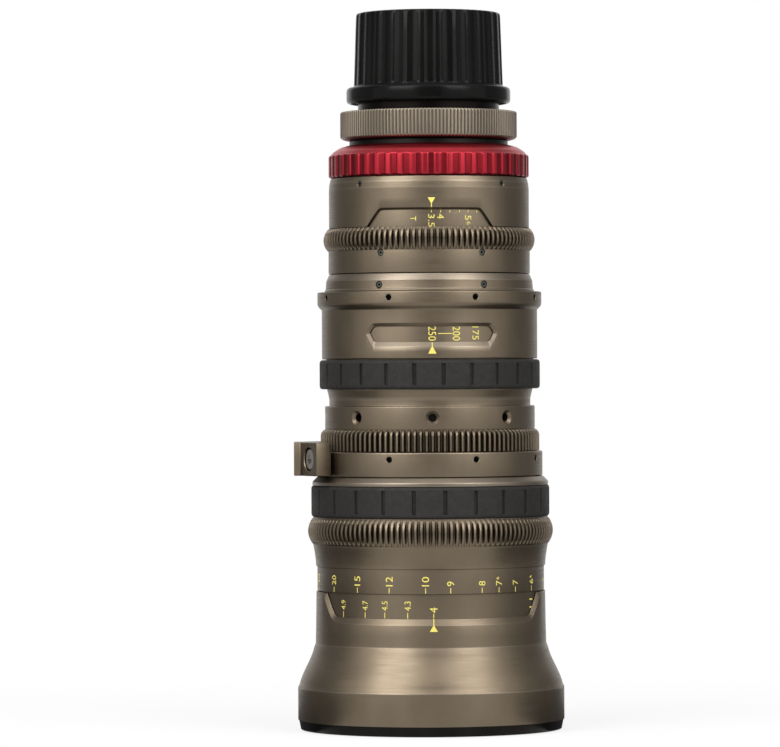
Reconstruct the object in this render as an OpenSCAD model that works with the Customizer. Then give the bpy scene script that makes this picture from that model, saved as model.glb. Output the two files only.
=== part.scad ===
// Cine zoom camera lens, standing on its front ring, with a capped rear mount.
// Origin: centre of the front standing face. +Z runs along the optical axis to the mount.
// The index marks face -Y and the support bracket sits on the -X side. Millimetres.

/* [Clearances] */
// Gap between pieces that move past each other
run_gap = 0.3; // [0.2:0.05:0.5]
// Gap between fixed pieces that nest round each other
fit_gap = 0.05; // [0.02:0.01:0.1]
// Gap between a fastener and its hole
screw_gap = 0.1; // [0.05:0.05:0.2]

/* [Optics] */
// Radius of the moving zoom glasses
zoom_glass_r = 31; // [28:0.5:33]
// Radius of the moving focus glasses
focus_glass_r = 38; // [34:0.5:39]
// How far the front glass's edge lies inside the bell's bore
front_glass_in = 4; // [3:0.1:6]
// How much smaller the second front glass is in radius
second_glass_in = 3.5; // [3:0.1:5]
// Radius of the fixed relay glass
relay_glass_r = 32; // [28:0.5:33]
// Radius of the rear glasses
rear_glass_r = 21.5; // [18:0.5:22]

/* [Walls from the axis outwards] */
// Wall of the cells that hold the moving zoom glasses
zoom_cell_wall = 2.9; // [2.5:0.1:3.5]
// Wall of the slotted guide tube
guide_wall = 2.4; // [2:0.1:3]
// Wall of the turning cam tube
cam_wall = 2.1; // [1.6:0.1:2.6]
// Wall of the main tube
main_wall = 2.25; // [2:0.05:3]
// Wall of the focus barrel at the front
barrel_wall = 2.75; // [2.4:0.05:3.2]
// Wall of the slotted focus sleeve
sleeve_wall = 1.3; // [1.1:0.1:1.6]
// Wall of the focus drum seen in the front window
focus_drum_wall = 1.25; // [1:0.05:1.6]
// Wall of the front bell round the focus drum
bell_wall = 1.55; // [1.2:0.05:2]
// Wall of the zoom ring at its neck
zoom_neck_wall = 1.15; // [1:0.05:1.6]
// Wall of the zoom ring at its drilled band
zoom_band_wall = 3; // [2.6:0.1:4]
// Wall of the zoom drum seen in the middle window
zoom_drum_wall = 2.5; // [2:0.1:3]
// Wall of the zoom housing round the zoom drum
zoom_housing_wall = 1.4; // [1.1:0.1:2]
// Wall of the rear tube
rear_wall = 3.1; // [2.6:0.1:3.6]
// Wall of the iris drum seen in the rear window
iris_drum_wall = 2.5; // [2:0.1:3]
// Wall of the iris ring at its plain band
iris_band_wall = 4.2; // [3.6:0.1:5]
// Wall of the iris housing round the iris drum
iris_housing_wall = 1.1; // [0.9:0.1:1.6]

/* [Front bell] */
// How far the front band, which accessories clamp on, stands outside the bell's collar
band_out = 7.85; // [6:0.05:10]
// Height of the black front ring
front_ring_h = 4.2; // [3.4:0.1:6]
// How far the front ring stands inside the band
front_ring_step = 0.4; // [0.2:0.1:1]
// Draft of the front ring towards its standing edge
front_ring_draft = 0.4; // [0.2:0.1:1]
// How far the front opening's edge stands inside the front glass's edge
opening_lip = 1.5; // [1:0.1:2.5]
// Height of the straight front band
band_h = 13.8; // [10:0.2:18]
// Rounding at the band's upper edge
band_edge = 0.45; // [0.2:0.05:1]
// Height of the bell's curved flare
flare_h = 19.5; // [15:0.5:26]
// Height of the bell's straight collar
collar_h = 21.6; // [18:0.2:26]
// Wall of the bell behind the band
band_wall = 3; // [2:0.1:4]
// Height of the solid web that carries the focus barrel
web_h = 4; // [3:0.5:6]
// Half angle of the front window at mid height
front_window_angle = 65.3; // [50:0.1:75]
// Lean of the front window's ends
front_window_lean = 37; // [0:1:50]
// Height of the front window, from its sill to the bell's top
front_window_h = 9.9; // [7:0.1:13]
// Drop of the window sill's bevel
front_sill_drop = 2.6; // [1:0.1:3.5]

/* [Focus ring] */
// Height of the lower focus scale, under the bell
focus_drum_h = 14.3; // [11:0.1:18]
// Height of the upper focus scale
focus_scale_h = 9.2; // [7:0.2:12]
// Step from the lower to the upper focus scale
focus_scale_step = 1.2; // [0.8:0.1:2]
// Height of the shoulder under the focus gear
focus_shoulder_h = 10.3; // [7:0.1:14]
// Step of that shoulder from the scale
focus_shoulder_step = 1.3; // [0.6:0.1:2]
// Height of the focus gear
focus_gear_h = 12; // [9:0.5:15]
// Height of the focus rubber grip
focus_grip_h = 13.5; // [10:0.5:18]
// Thickness of the focus rubber grip
focus_grip_wall = 1.75; // [1.4:0.05:2.5]
// Height of the bright lip ring above the focus grip
focus_lip_h = 3.7; // [2.5:0.1:5]
// Bevel of that lip ring
focus_lip_bevel = 2.2; // [1:0.1:3]
// Angle from the shown focus to the far stop
focus_far_angle = 113; // [90:1:120]
// Angle from the shown focus to the near stop
focus_near_angle = 101; // [80:1:110]
// Travel of the focus group per full range
focus_travel = 14; // [10:0.5:16]

/* [Gears] */
// Tooth size of all three gears, pitch diameter over tooth count
gear_module = 0.8; // [0.8]
// Number of focus gear teeth
focus_teeth = 129; // [125:1:133]
// Number of zoom gear teeth
zoom_teeth = 115; // [114:1:117]
// Number of iris gear teeth
iris_teeth = 111; // [109:1:113]
// Radius of the focus gear's crowned tips, seen along the edge
focus_crown_r = 8.7; // [7:0.1:14]
// Radius of the iris gear's crowned tips
iris_crown_r = 6.8; // [5:0.1:12]
// Radius of the zoom gear's rounded upper edge
zoom_crown_r = 3; // [1:0.1:4]

/* [Flange and bracket] */
// Height of the fixed centre flange
flange_h = 10.4; // [9:0.1:13]
// Wall of the fixed centre flange
flange_wall = 6.45; // [6:0.05:7.5]
// Bevel at the flange's upper edge
flange_edge = 0.5; // [0.2:0.1:1]
// Width of the support bracket along the axis
bracket_w = 14.2; // [12:0.2:18]
// How far the bracket's screw faces stand outside the flange
bracket_face_out = 8.3; // [7:0.1:10]
// Length of each screw face
bracket_face_l = 17.6; // [14:0.2:19]
// How far the bracket's outer pad stands outside its screw faces
bracket_pad_out = 1.9; // [1.2:0.1:4]
// Angle of the bracket's screws from its middle
bracket_screw_angle = 22.5; // [22.5]
// Radius of the counterbores for the bracket screws
counterbore_r = 5; // [4.5:0.1:5.6]
// Depth of those counterbores
counterbore_depth = 4.6; // [4:0.1:5]
// Radius of the bracket screws' heads
bracket_head_r = 4.2; // [3.6:0.1:4.4]
// Height of the bracket screws' heads
bracket_head_h = 4; // [3:0.1:4.5]
// Radius of the bracket screws' shanks
bracket_shank_r = 2; // [1.5:0.1:2.4]
// Length of the bracket screws' shanks
bracket_shank_l = 8.4; // [7:0.1:9]
// Radius of the threaded hole in the bracket's pad
pad_hole_r = 3.97; // [2:0.01:4.5]
// Depth of that hole
pad_hole_depth = 8; // [5:0.5:9]

/* [Zoom ring] */
// Height of the zoom gear
zoom_gear_h = 9.4; // [8:0.1:11]
// Height of the drilled band
zoom_band_h = 9.7; // [8:0.1:12]
// Bevel of the drilled band's upper edge
zoom_band_edge = 0.6; // [0.2:0.1:1]
// Height of the thin neck
zoom_neck_h = 7.2; // [5:0.1:10]
// Height of the zoom rubber grip
zoom_grip_h = 12.5; // [10:0.5:16]
// Thickness of the zoom rubber grip
zoom_grip_wall = 2.7; // [2:0.1:3.2]
// Height of the zoom drum above the grip
zoom_drum_h = 20; // [18:0.5:22]
// Radius of the threaded holes for the zoom handle
handle_hole_r = 1.75; // [1.5:0.05:2.2]
// Radius of the countersinks round those holes
handle_sink_r = 3.4; // [2.5:0.1:3.8]
// Depth of those countersinks
handle_sink_depth = 0.9; // [0.5:0.1:1.2]
// Number of handle holes
handle_holes = 8; // [4:1:8]
// Angle that the zoom ring turns from the longest to the shortest focal length
zoom_angle = 120; // [80:1:120]
// Travel of the variator over that angle
variator_travel = 52; // [40:1:54]
// Travel of the compensator over that angle
compensator_travel = 14; // [12:1:16]

/* [Zoom housing] */
// Height of the zoom housing
zoom_housing_h = 28.6; // [27:0.2:32]
// How far the housing's flange stands out
housing_flange_out = 1.85; // [1:0.05:2.5]
// Height of the housing's flange
housing_flange_h = 8; // [6:0.2:9]
// Half angle of the middle window at its widest
zoom_window_angle = 37.2; // [25:0.1:50]
// Height of the middle window's opening
zoom_window_h = 6.7; // [5:0.1:8]
// Height of the middle window's opening above the housing's foot
zoom_window_z = 7.2; // [6:0.1:9]
// Lean of the middle window's ends
zoom_window_lean = 43; // [0:1:50]
// Drop of the middle window's bevel
zoom_sill_drop = 1.8; // [0.8:0.1:2.4]
// Height of the bevelled rear collar
rear_collar_h = 7.5; // [6:0.1:9]
// Radius of the rear collar at its foot
rear_collar_r = 44.9; // [44.5:0.1:45.5]
// Step between the rear collar's foot and its top
rear_collar_step = 1.8; // [0.8:0.1:2.4]

/* [Iris] */
// Height of the iris ring's plain band
iris_band_h = 9.7; // [8:0.1:12]
// Height of the iris gear
iris_gear_h = 9.4; // [8:0.1:11]
// Height of the iris drum above the gear
iris_drum_h = 9.2; // [8:0.1:10]
// Height of the iris housing
iris_housing_h = 21.4; // [20:0.2:24]
// Rounding of the iris housing's upper shoulder
iris_shoulder = 1.1; // [0.4:0.1:1.6]
// Half angle of the rear window at mid height
iris_window_angle = 35.2; // [25:0.1:45]
// Height of the rear window
iris_window_h = 7; // [5:0.1:8]
// Lean of the rear window's ends
iris_window_lean = 34; // [0:1:45]
// Bevel of the rear window's upper edge
iris_sill_drop = 1.4; // [0.5:0.1:2]
// Angle that the iris ring turns from wide open to closed
iris_angle = 88; // [60:1:88]
// Clear radius of the open iris
iris_open_r = 16; // [14:0.1:18]
// Number of iris blades
iris_blades = 6; // [6]
// Thickness of an iris blade
blade_t = 0.2; // [0.15:0.05:0.25]
// Distance from one blade layer to the next
blade_pitch = 0.42; // [0.4:0.01:0.5]
// Distance of the blades' pivots from the axis
pivot_circle_r = 32.6; // [32:0.1:33]
// Radius of a blade's pivot pin
pivot_pin_r = 0.6; // [0.5:0.05:0.7]

/* [Rear group] */
// Outer radius of the red locking ring
lock_ring_r = 42.85; // [42:0.05:44]
// Height of the locking ring's fluted band
lock_band_h = 9.4; // [8:0.1:11]
// Height of the locking ring's cone
lock_cone_h = 4.4; // [3.5:0.1:5]
// Radius at the top of the locking ring's cone
lock_top_r = 34.4; // [34.3:0.1:36]
// Number of flutes on the locking ring
lock_flutes = 50; // [36:1:60]
// Depth of those flutes
lock_flute_depth = 0.7; // [0.3:0.05:0.9]
// Radius of the rear group's clamped flange
rear_flange_r = 38.3; // [37.5:0.1:38.4]
// Height of that flange
rear_flange_h = 3.4; // [3:0.1:3.6]
// Radius of the register that centres the rear group
register_r = 32; // [30:0.1:32.5]
// Height of the register
register_h = 6.2; // [5:0.1:7]
// Radius of the black neck above the locking ring
rear_neck_r = 33.9; // [33:0.1:34]
// Height of the black neck above the flange
rear_neck_h = 5.3; // [5:0.1:6]
// Radius of the core inside the knurled ring
rear_core_r = 28.2; // [27.5:0.1:29]
// Height of the core inside the knurled ring
rear_core_h = 10.7; // [9:0.1:12]
// Outer radius of the rear barrel
rear_barrel_r = 27; // [25:0.1:27.2]
// How far the rear barrel reaches in front of the register
rear_barrel_reach = 33.4; // [25:0.1:34]
// Radius of the knurled back focus ring
knurl_r = 37.8; // [36:0.1:39]
// Height of the knurled ring
knurl_h = 12.2; // [10:0.1:14]
// Number of knurls
knurl_count = 150; // [120:1:180]
// Depth of the knurls
knurl_depth = 0.45; // [0.2:0.05:0.6]
// Bevel of the knurled ring's lower edge
knurl_bevel = 3.4; // [1:0.1:3.6]
// Rounding of the knurled ring's upper edge
knurl_edge = 0.8; // [0.3:0.1:1.2]
// Radius of the camera mount's neck
mount_neck_r = 30.2; // [29.8:0.1:31]
// Height of the neck seen under the cap
mount_neck_h = 4.2; // [3:0.1:5]
// Outer radius of the mount's four wings
wing_r = 33; // [32:0.1:33.3]
// Thickness of the wings
wing_h = 3; // [2.4:0.1:3.5]
// Gap angle between two wings
wing_gap_angle = 34; // [20:1:45]
// Outer radius of the spigot that enters the camera
spigot_r = 27; // [27]
// Height of that spigot above the wings
spigot_h = 9.5; // [8:0.1:11]

/* [Rear cap] */
// Height of the cap's rounded lip
cap_lip_h = 7; // [5:0.1:9]
// Radius of the cap's rounded lip
cap_lip_r = 35.1; // [34.9:0.1:37]
// Rounding of the lip
cap_lip_edge = 1.8; // [0.5:0.1:2.5]
// Height of the cap's fluted body
cap_body_h = 31.8; // [24:0.2:36]
// Radius of the body above the lip
cap_foot_r = 32; // [31.6:0.1:33]
// Radius of the body at its top
cap_top_r = 30.9; // [30:0.1:32]
// Rounding of the cap's top edge
cap_edge = 1.7; // [0.8:0.1:2.5]
// Wall of the cap's top
cap_top_wall = 2.8; // [2:0.1:4]
// Number of the cap's broad flutes
cap_flutes = 28; // [20:1:36]
// Depth of the flutes
cap_flute_depth = 0.6; // [0.3:0.05:1]

/* [Grips and fasteners] */
// Number of notches round each rubber grip
grip_notches = 24; // [18:1:30]
// Width of a notch
notch_w = 1.3; // [0.8:0.1:2]
// Depth of a notch
notch_depth = 0.8; // [0.4:0.1:1.1]
// Plain rim left at each end of a notch
notch_rim = 1.1; // [0.6:0.1:2]
// Rounding of the rubber grips' edges
grip_edge = 0.9; // [0.4:0.1:1.2]
// Radius of the small set screws
set_screw_r = 1.15; // [0.8:0.05:1.3]
// Depth of a set screw's top under the surface
set_screw_sink = 0.5; // [0.2:0.1:0.8]
// Length of the cam follower pins' radius
follower_r = 1.5; // [1.2:0.1:1.7]

/* [Hidden] */
$fn = 96;
overrun = 1;
bell_points = 10;
curve_points = 5;
lens_points = 7;
mid_share = 0.5;

// Smaller sizes of single pieces
rear_step = 0.7;
focus_seat_wall = 3.1;
front_cell_wall = 2.85;
front_lead_in = 1.5;
second_bore_h = 8;
collar_draft = 0.2;
front_glass_z = 9;
front_glass_edge = 5;
front_glass_sag = 3.6;
second_glass_z = 17;
second_glass_edge = 6;
second_glass_sag = 2;
second_gap_sag = 2;
retainer_h = 2.5;
seat_lip = 3;
barrel_flange_h = 3;
barrel_screw_count = 6;
barrel_screw_circle_r = 46;
barrel_screw_r = 1;
barrel_screw_l = 3;
barrel_head_r = 1.45;
screw_head_h = 1.8;
screw_bite = 1.6;
// Angles of the fixed pieces' screws, counted from -Y
flange_screw_angles = [22.5, 67.5, 112.5, 157.5, 202.5, 337.5];
housing_screw_angles = [for (i = [0:7]) 22.5 + 45 * i];
collar_screw_angles = [for (i = [0:5]) 30 + 60 * i];
joint_screw_angles = [45, 135, 225, 315];
sleeve_screw_angles = [0, 90, 180, 270];
zoom_key_angles = [0, 180];
iris_key_angles = [-90, 90];
iris_screw_angles = [30, 150, 210, 330];
main_overlap = 9;
guide_flange_h = 3.5;
slot_gap = 0.4;
slot_end_angle = 3;
slot_step_angle = 12;
slot_overlap_share = 0.52;
shoulder_share = 0.75;
sink_over_share = 1.4;
flange_rise_share = 0.6;
lip_inset = 0.5;
focus_cell_gap = 4;
focus_cell_h = 38;
focus_pin_drop = 8;
focus_front_edge = 13;
focus_glass_edge = 8;
focus_glass_sag = 3;
zoom_cell_h = 12;
zoom_glass_edge = 6;
zoom_glass_sag = 2;
zoom_group_step = 14;
compensator_drop = 14;
// Angle between the variator's pins and the compensator's
compensator_turn = 60;
follower_floor = 0.8;
zoom_key_drop = 2.4;
housing_foot_edge = 0.5;
housing_flange_edge = 0.9;
rear_collar_foot = 1;
rear_seat_h = 10.3;
rear_web_h = 2.3;
rear_bore_r = 23;
mount_sleeve_wall = 1.3;
mount_sleeve_h = 10;
spigot_wall = 3;
relay_cell_h = 6;
relay_glass_edge = 4;
relay_glass_sag = 1.2;
iris_plate_h = 1.4;
iris_plate_floor = 0.3;
blade_gap = 0.2;
blade_inset = 1.6;
blade_clear = 0.4;
blade_eye_r = 2.1;
blade_span_angle = 112;
iris_drive_ir = 28;
iris_screw_up = 8.4;
iris_shoulder_h = 5;
thread_h = 7.3;
lock_foot_edge = 0.5;
rear_glass_edge = 5;
rear_glass_sag = 1.5;
cap_drop = 0.7;
cap_clear = 1.2;
cap_flute_r = 6.8;
grip_turn = 5.7;
flange_screw_up = 7.4;
housing_screw_down = 2.7;
iris_screw_down = 3.1;
rear_seat_up = 9;

// Radii, each worked out from the piece inside it
zoom_cell_ir = zoom_glass_r + fit_gap;
zoom_cell_r = zoom_cell_ir + zoom_cell_wall;
guide_ir = zoom_cell_r + run_gap;
guide_r = guide_ir + guide_wall;
cam_ir = guide_r + run_gap;
cam_r = cam_ir + cam_wall;
main_ir = cam_r + run_gap;
main_r = main_ir + main_wall;
barrel_ir = main_r + fit_gap;
barrel_r = barrel_ir + barrel_wall;
sleeve_ir = barrel_r + run_gap;
sleeve_r = sleeve_ir + sleeve_wall;
focus_ring_ir = sleeve_r + fit_gap;
focus_drum_r = focus_ring_ir + focus_drum_wall;
bell_ir = focus_drum_r + run_gap;
bell_r = bell_ir + bell_wall;
band_r = bell_r + band_out;
band_bore_r = band_r - band_wall;
front_glass_r = band_bore_r - front_glass_in;
second_glass_r = front_glass_r - second_glass_in;
front_opening_r = front_glass_r - opening_lip;
focus_scale_r = focus_drum_r + focus_scale_step;
flange_ir = main_r + fit_gap;
flange_r = flange_ir + flange_wall;
zoom_ir = main_r + run_gap;
zoom_neck_r = zoom_ir + zoom_neck_wall;
zoom_band_r = zoom_ir + zoom_band_wall;
zoom_drum_r = zoom_ir + zoom_drum_wall;
zoom_housing_ir = zoom_drum_r + run_gap;
zoom_housing_r = zoom_housing_ir + zoom_housing_wall;
rear_tube_foot_r = main_ir - fit_gap;
rear_tube_r = rear_tube_foot_r - rear_step;
rear_tube_ir = rear_tube_r - rear_wall;
iris_ir = rear_tube_r + run_gap;
iris_drum_r = iris_ir + iris_drum_wall;
iris_band_r = iris_ir + iris_band_wall;
iris_housing_ir = iris_drum_r + run_gap;
iris_housing_r = iris_housing_ir + iris_housing_wall;
focus_seat_r = focus_ring_ir + focus_seat_wall;
focus_grip_r = focus_seat_r + fit_gap + focus_grip_wall;
zoom_grip_r = zoom_drum_r + fit_gap + zoom_grip_wall;
focus_cell_r = barrel_ir - run_gap;
focus_cell_ir = focus_glass_r + fit_gap;
front_cell_r = band_bore_r - fit_gap;
second_bore_r = second_glass_r + fit_gap;
front_cell_neck_r = second_bore_r + front_cell_wall;
rear_barrel_ir = rear_glass_r + fit_gap;
rear_body_ir = rear_barrel_r + fit_gap;
mount_sleeve_r = rear_bore_r - fit_gap;
mount_bore_r = mount_sleeve_r - mount_sleeve_wall;
lock_ir = rear_tube_r + run_gap;
bracket_seat_r = flange_r + fit_gap;
bracket_face_r = flange_r + bracket_face_out;
bracket_pad_r = bracket_face_r + bracket_pad_out;

// Heights, each worked out from the piece under it
band_z = front_ring_h;
flare_z = band_z + band_h;
collar_z = flare_z + flare_h;
bell_top_z = collar_z + collar_h;
web_z = flare_z + second_bore_h;
web_top_z = web_z + web_h;
focus_z = bell_top_z + run_gap;
focus_drum_z = focus_z - focus_drum_h;
focus_shoulder_z = focus_z + focus_scale_h;
focus_gear_z = focus_shoulder_z + focus_shoulder_h;
focus_grip_z = focus_gear_z + focus_gear_h;
focus_lip_z = focus_grip_z + focus_grip_h;
focus_top_z = focus_lip_z + focus_lip_h;
flange_z = focus_top_z + run_gap;
flange_top_z = flange_z + flange_h;
zoom_z = flange_top_z + run_gap;
zoom_band_z = zoom_z + zoom_gear_h;
zoom_neck_z = zoom_band_z + zoom_band_h;
zoom_grip_z = zoom_neck_z + zoom_neck_h;
zoom_drum_z = zoom_grip_z + zoom_grip_h;
zoom_drum_top_z = zoom_drum_z + zoom_drum_h;
zoom_housing_z = zoom_drum_z + run_gap;
rear_collar_z = zoom_housing_z + zoom_housing_h;
rear_collar_top_z = rear_collar_z + rear_collar_h;
iris_z = rear_collar_top_z + run_gap;
iris_gear_z = iris_z + iris_band_h;
iris_drum_z = iris_gear_z + iris_gear_h;
iris_drum_top_z = iris_drum_z + iris_drum_h;
iris_housing_z = iris_drum_z + run_gap;
iris_housing_top_z = iris_housing_z + iris_housing_h;
lock_z = iris_housing_top_z + run_gap;
lock_cone_z = lock_z + lock_band_h;
lock_top_z = lock_cone_z + lock_cone_h;
rear_flange_z = iris_housing_top_z + thread_h;
rear_neck_z = rear_flange_z + rear_flange_h;
rear_core_z = rear_neck_z + rear_neck_h;
register_z = rear_flange_z - register_h;
rear_barrel_z = register_z - rear_barrel_reach;
rear_barrel_top_z = rear_core_z - rear_web_h;
knurl_z = rear_core_z + run_gap;
mount_z = rear_core_z + rear_core_h;
wing_z = knurl_z + knurl_h + mount_neck_h;
spigot_z = wing_z + wing_h;
spigot_top_z = spigot_z + spigot_h;
cap_z = wing_z - cap_drop;
cap_body_z = cap_z + cap_lip_h;
cap_top_z = cap_body_z + cap_body_h;
main_z = focus_grip_z - main_overlap;
rear_tube_z = rear_collar_top_z - rear_seat_h;
focus_cell_z = web_top_z + focus_cell_gap;
focus_cell_top_z = focus_cell_z + focus_cell_h;
focus_pin_z = focus_cell_top_z - focus_pin_drop;
compensator_z = rear_tube_z - compensator_drop;
variator_z = compensator_z - zoom_group_step;
zoom_key_z = zoom_drum_top_z - zoom_key_drop;
relay_top_z = rear_tube_z + relay_cell_h;
blade_z = relay_top_z + iris_plate_h + blade_gap;
iris_screw_z = iris_z + iris_screw_up;
flange_screw_z = flange_z + flange_screw_up;
bracket_z = flange_screw_z - bracket_w * mid_share;
housing_screw_z = rear_collar_z - housing_screw_down;
collar_screw_z = rear_collar_z + housing_screw_down;
iris_housing_screw_z = iris_housing_top_z - iris_screw_down;
sleeve_screw_z = focus_grip_z + focus_grip_h * mid_share;
handle_z = zoom_band_z + zoom_band_h * mid_share;
rear_seat_z = rear_barrel_z + rear_seat_up;
bracket_thread_r = bracket_face_r - counterbore_depth - bracket_shank_l - screw_gap;
cam_z = main_z + guide_flange_h + run_gap;
cam_top_z = rear_tube_z - guide_flange_h - run_gap;

// Rise of a follower per degree that its ring turns
focus_lead = focus_travel / (focus_far_angle + focus_near_angle);
variator_lead = variator_travel / zoom_angle;
compensator_lead = compensator_travel / zoom_angle;

// Shares of a tooth's pitch where its flank meets the root and the tip
tooth_shares = [-0.33, -0.14, 0.14, 0.33];
flute_shares = [-0.3, -0.18, 0.18, 0.3];
knurl_shares = [-0.4, -0.1, 0.1, 0.4];
// How far a toothed band's inner body stays under the roots
root_sink = 0.3;
// How much of the flare follows the smooth curve, and of the cone the round one
flare_share = 0.6;
dome_share = 0.5;

function tip_r(teeth) = gear_module * (teeth + 2) / 2;
function root_r(teeth) = gear_module * (teeth - 2.5) / 2;
function mix(a, b, share) = a + (b - a) * share;

// Points of a toothed outline: low, high, high and low for each tooth, one tooth facing -Y
function toothed(count, low, high, shares) = [
    for (i = [0:count - 1], k = [0:3])
        let (a = 360 * (i + shares[k]) / count, r = (k == 0 || k == 3) ? low : high)
            [r * sin(a), -r * cos(a)]];

// Quarter round from (r - e, z) to (r, z + e) for a lower edge
function low_round(r, z, e) = [for (i = [0:curve_points])
    let (a = 90 * i / curve_points) [r - e + e * sin(a), z + e - e * cos(a)]];

// Quarter round from (r, z - e) to (r - e, z) for an upper edge
function top_round(r, z, e) = [for (i = [0:curve_points])
    let (a = 90 * i / curve_points) [r - e + e * cos(a), z - e + e * sin(a)]];

// Crowned edge: an arc of radius c that peaks at radius r in the middle of z to z + h
function crown(r, z, h, c) = [for (i = [0:curve_points])
    let (d = (i / curve_points - mid_share) * h) [r - c + sqrt(c * c - d * d), z + h * mid_share + d]];

// A turned solid from an outline of [radius, height] points
module turned(points) {
    rotate_extrude() polygon(points);
}

// A plain tube
module tube(outer, inner, z, h) {
    turned([[inner, z], [outer, z], [outer, z + h], [inner, z + h]]);
}

// A rod that points away from the axis at one angle from -Y
module radial_rod(r, from, to, z, angle) {
    translate([0, 0, z]) rotate([0, 0, angle]) rotate([90, 0, 0])
        translate([0, 0, from]) cylinder(r = r, h = to - from);
}

module radial_rods(r, from, to, z, angles) {
    for (a = angles) radial_rod(r, from, to, z, a);
}

// A set screw with a hexagonal socket in its outer end
module set_screw(r, from, to, z, angle) {
    difference() {
        radial_rod(r, from, to, z, angle);
        translate([0, 0, z]) rotate([0, 0, angle]) rotate([90, 0, 0])
            translate([0, 0, to - r]) cylinder(r = r * mid_share, h = r + overrun, $fn = 6);
    }
}

module set_screws(r, from, to, z, angles) {
    for (a = angles) set_screw(r, from, to, z, a);
}

// Half space on the near side of a leaning plane through the axis at an angle from -Y
module half_space(angle, lean, z, size) {
    translate([0, 0, z]) rotate([0, 0, angle]) rotate([0, lean, 0])
        translate([-size, -size, -size]) cube([size, 2 * size, 2 * size]);
}

// Sector between two leaning ends, for a window round -Y
module sector(angle, lean, z, size) {
    intersection() {
        half_space(angle, lean, z, size);
        mirror([1, 0, 0]) half_space(angle, lean, z, size);
    }
}

// Slot that runs round the axis from one angle to another, under a half turn apart
module arc_slot(inner, outer, z, half_h, from, to) {
    intersection() {
        tube(outer, inner, z - half_h, 2 * half_h);
        half_space(to, 0, z, 2 * outer);
        mirror([1, 0, 0]) half_space(-from, 0, z, 2 * outer);
    }
}

// Slot that climbs as it goes round: a chain of radial blocks with round ends
module helical_slot(inner, outer, z, half_w, from, to, lead) {
    steps = ceil((to - from) / slot_step_angle);
    step = (to - from) / steps;
    middle_r = (inner + outer) * mid_share;
    run = middle_r * step * PI / 180;
    climb = lead * step;
    for (i = [0:steps - 1]) let (a = from + step * (i + mid_share))
        translate([0, 0, z + lead * a]) rotate([0, 0, a]) rotate([0, -atan2(climb, run), 0])
            translate([-norm([run, climb]) * slot_overlap_share, -outer, -half_w])
                cube([2 * norm([run, climb]) * slot_overlap_share, outer - inner, 2 * half_w]);
    for (a = [from, to]) radial_rod(half_w + fit_gap, inner, outer, z + lead * a, a);
}

// A glass with a flat rim and curved faces; a positive sag bulges outwards
module glass(r, z, edge_h, low_sag, top_sag) {
    dome_r = r - seat_lip;
    turned(concat(
        [for (i = [0:lens_points]) let (t = i / lens_points) [dome_r * t, z - low_sag * (1 - t * t)]],
        [[r, z], [r, z + edge_h]],
        [for (i = [lens_points:-1:0]) let (t = i / lens_points)
            [dome_r * t, z + edge_h + top_sag * (1 - t * t)]]));
}

// Notched rubber band
module grip(outer, inner, z, h) {
    difference() {
        turned(concat([[inner, z]], low_round(outer, z, grip_edge), top_round(outer, z + h, grip_edge),
                      [[inner, z + h]]));
        for (i = [0:grip_notches - 1]) rotate([0, 0, grip_turn + 360 * i / grip_notches])
            translate([-notch_w * mid_share, -outer - overrun, z + notch_rim])
                cube([notch_w, notch_depth + overrun, h - 2 * notch_rim]);
    }
}

module front_ring() {
    top_r = band_r - front_ring_step;
    color([0.06, 0.06, 0.06]) turned([
        [front_opening_r + front_lead_in, 0], [top_r - front_ring_draft, 0], [top_r, front_ring_h],
        [front_opening_r, front_ring_h], [front_opening_r, front_lead_in]]);
}

module front_bell() {
    flare_top_r = bell_r + collar_draft;
    flare = [for (i = [0:bell_points]) let (t = i / bell_points,
        ease = mix(t, (1 - cos(180 * t)) * mid_share, flare_share))
        [mix(band_r - band_edge, flare_top_r + band_edge, ease), flare_z + flare_h * t]];
    color([0.46, 0.41, 0.35]) difference() {
        turned(concat(
            [[band_bore_r, band_z], [band_r, band_z], [band_r, flare_z - band_edge]], flare,
            [[flare_top_r, collar_z + band_edge], [bell_r - collar_draft, bell_top_z], [bell_ir, bell_top_z],
             [bell_ir, web_top_z], [barrel_r + fit_gap, web_top_z], [barrel_r + fit_gap, web_z],
             [front_cell_neck_r + fit_gap, web_z], [front_cell_neck_r + fit_gap, flare_z],
             [band_bore_r, flare_z]]));
        front_window();
        for (i = [0:barrel_screw_count - 1]) rotate([0, 0, 360 * i / barrel_screw_count])
            translate([0, barrel_screw_circle_r, web_top_z - barrel_screw_l - screw_gap])
                cylinder(r = barrel_screw_r + screw_gap, h = barrel_screw_l + screw_gap + overrun);
    }
}

// Opening in the bell over the lower focus scale, with a bevelled sill
module front_window() {
    sill_z = bell_top_z - front_window_h;
    intersection() {
        turned([[bell_ir - overrun, sill_z], [bell_ir, sill_z],
                [bell_ir + bell_wall + collar_draft, sill_z - front_sill_drop],
                [bell_r + 2 * overrun, sill_z - front_sill_drop], [bell_r + 2 * overrun, bell_top_z + overrun],
                [bell_ir - overrun, bell_top_z + overrun]]);
        sector(front_window_angle, front_window_lean, bell_top_z - front_window_h * mid_share, 2 * bell_r);
    }
}

module front_cell() {
    seat_z = front_glass_z + front_glass_edge;
    color([0.12, 0.12, 0.12]) turned([
        [front_glass_r + fit_gap, band_z], [front_cell_r, band_z], [front_cell_r, flare_z - fit_gap],
        [front_cell_neck_r, flare_z - fit_gap], [front_cell_neck_r, web_z - fit_gap],
        [second_bore_r, web_z - fit_gap], [second_bore_r, second_glass_z],
        [second_glass_r - seat_lip, second_glass_z], [second_glass_r - seat_lip, seat_z],
        [front_glass_r + fit_gap, seat_z]]);
}

module front_element() {
    color([0.35, 0.45, 0.5, 0.4])
        glass(front_glass_r, front_glass_z, front_glass_edge, front_glass_sag, -second_gap_sag);
}

module second_element() {
    color([0.35, 0.45, 0.5, 0.4])
        glass(second_glass_r, second_glass_z, second_glass_edge, 0, second_glass_sag);
}

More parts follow.
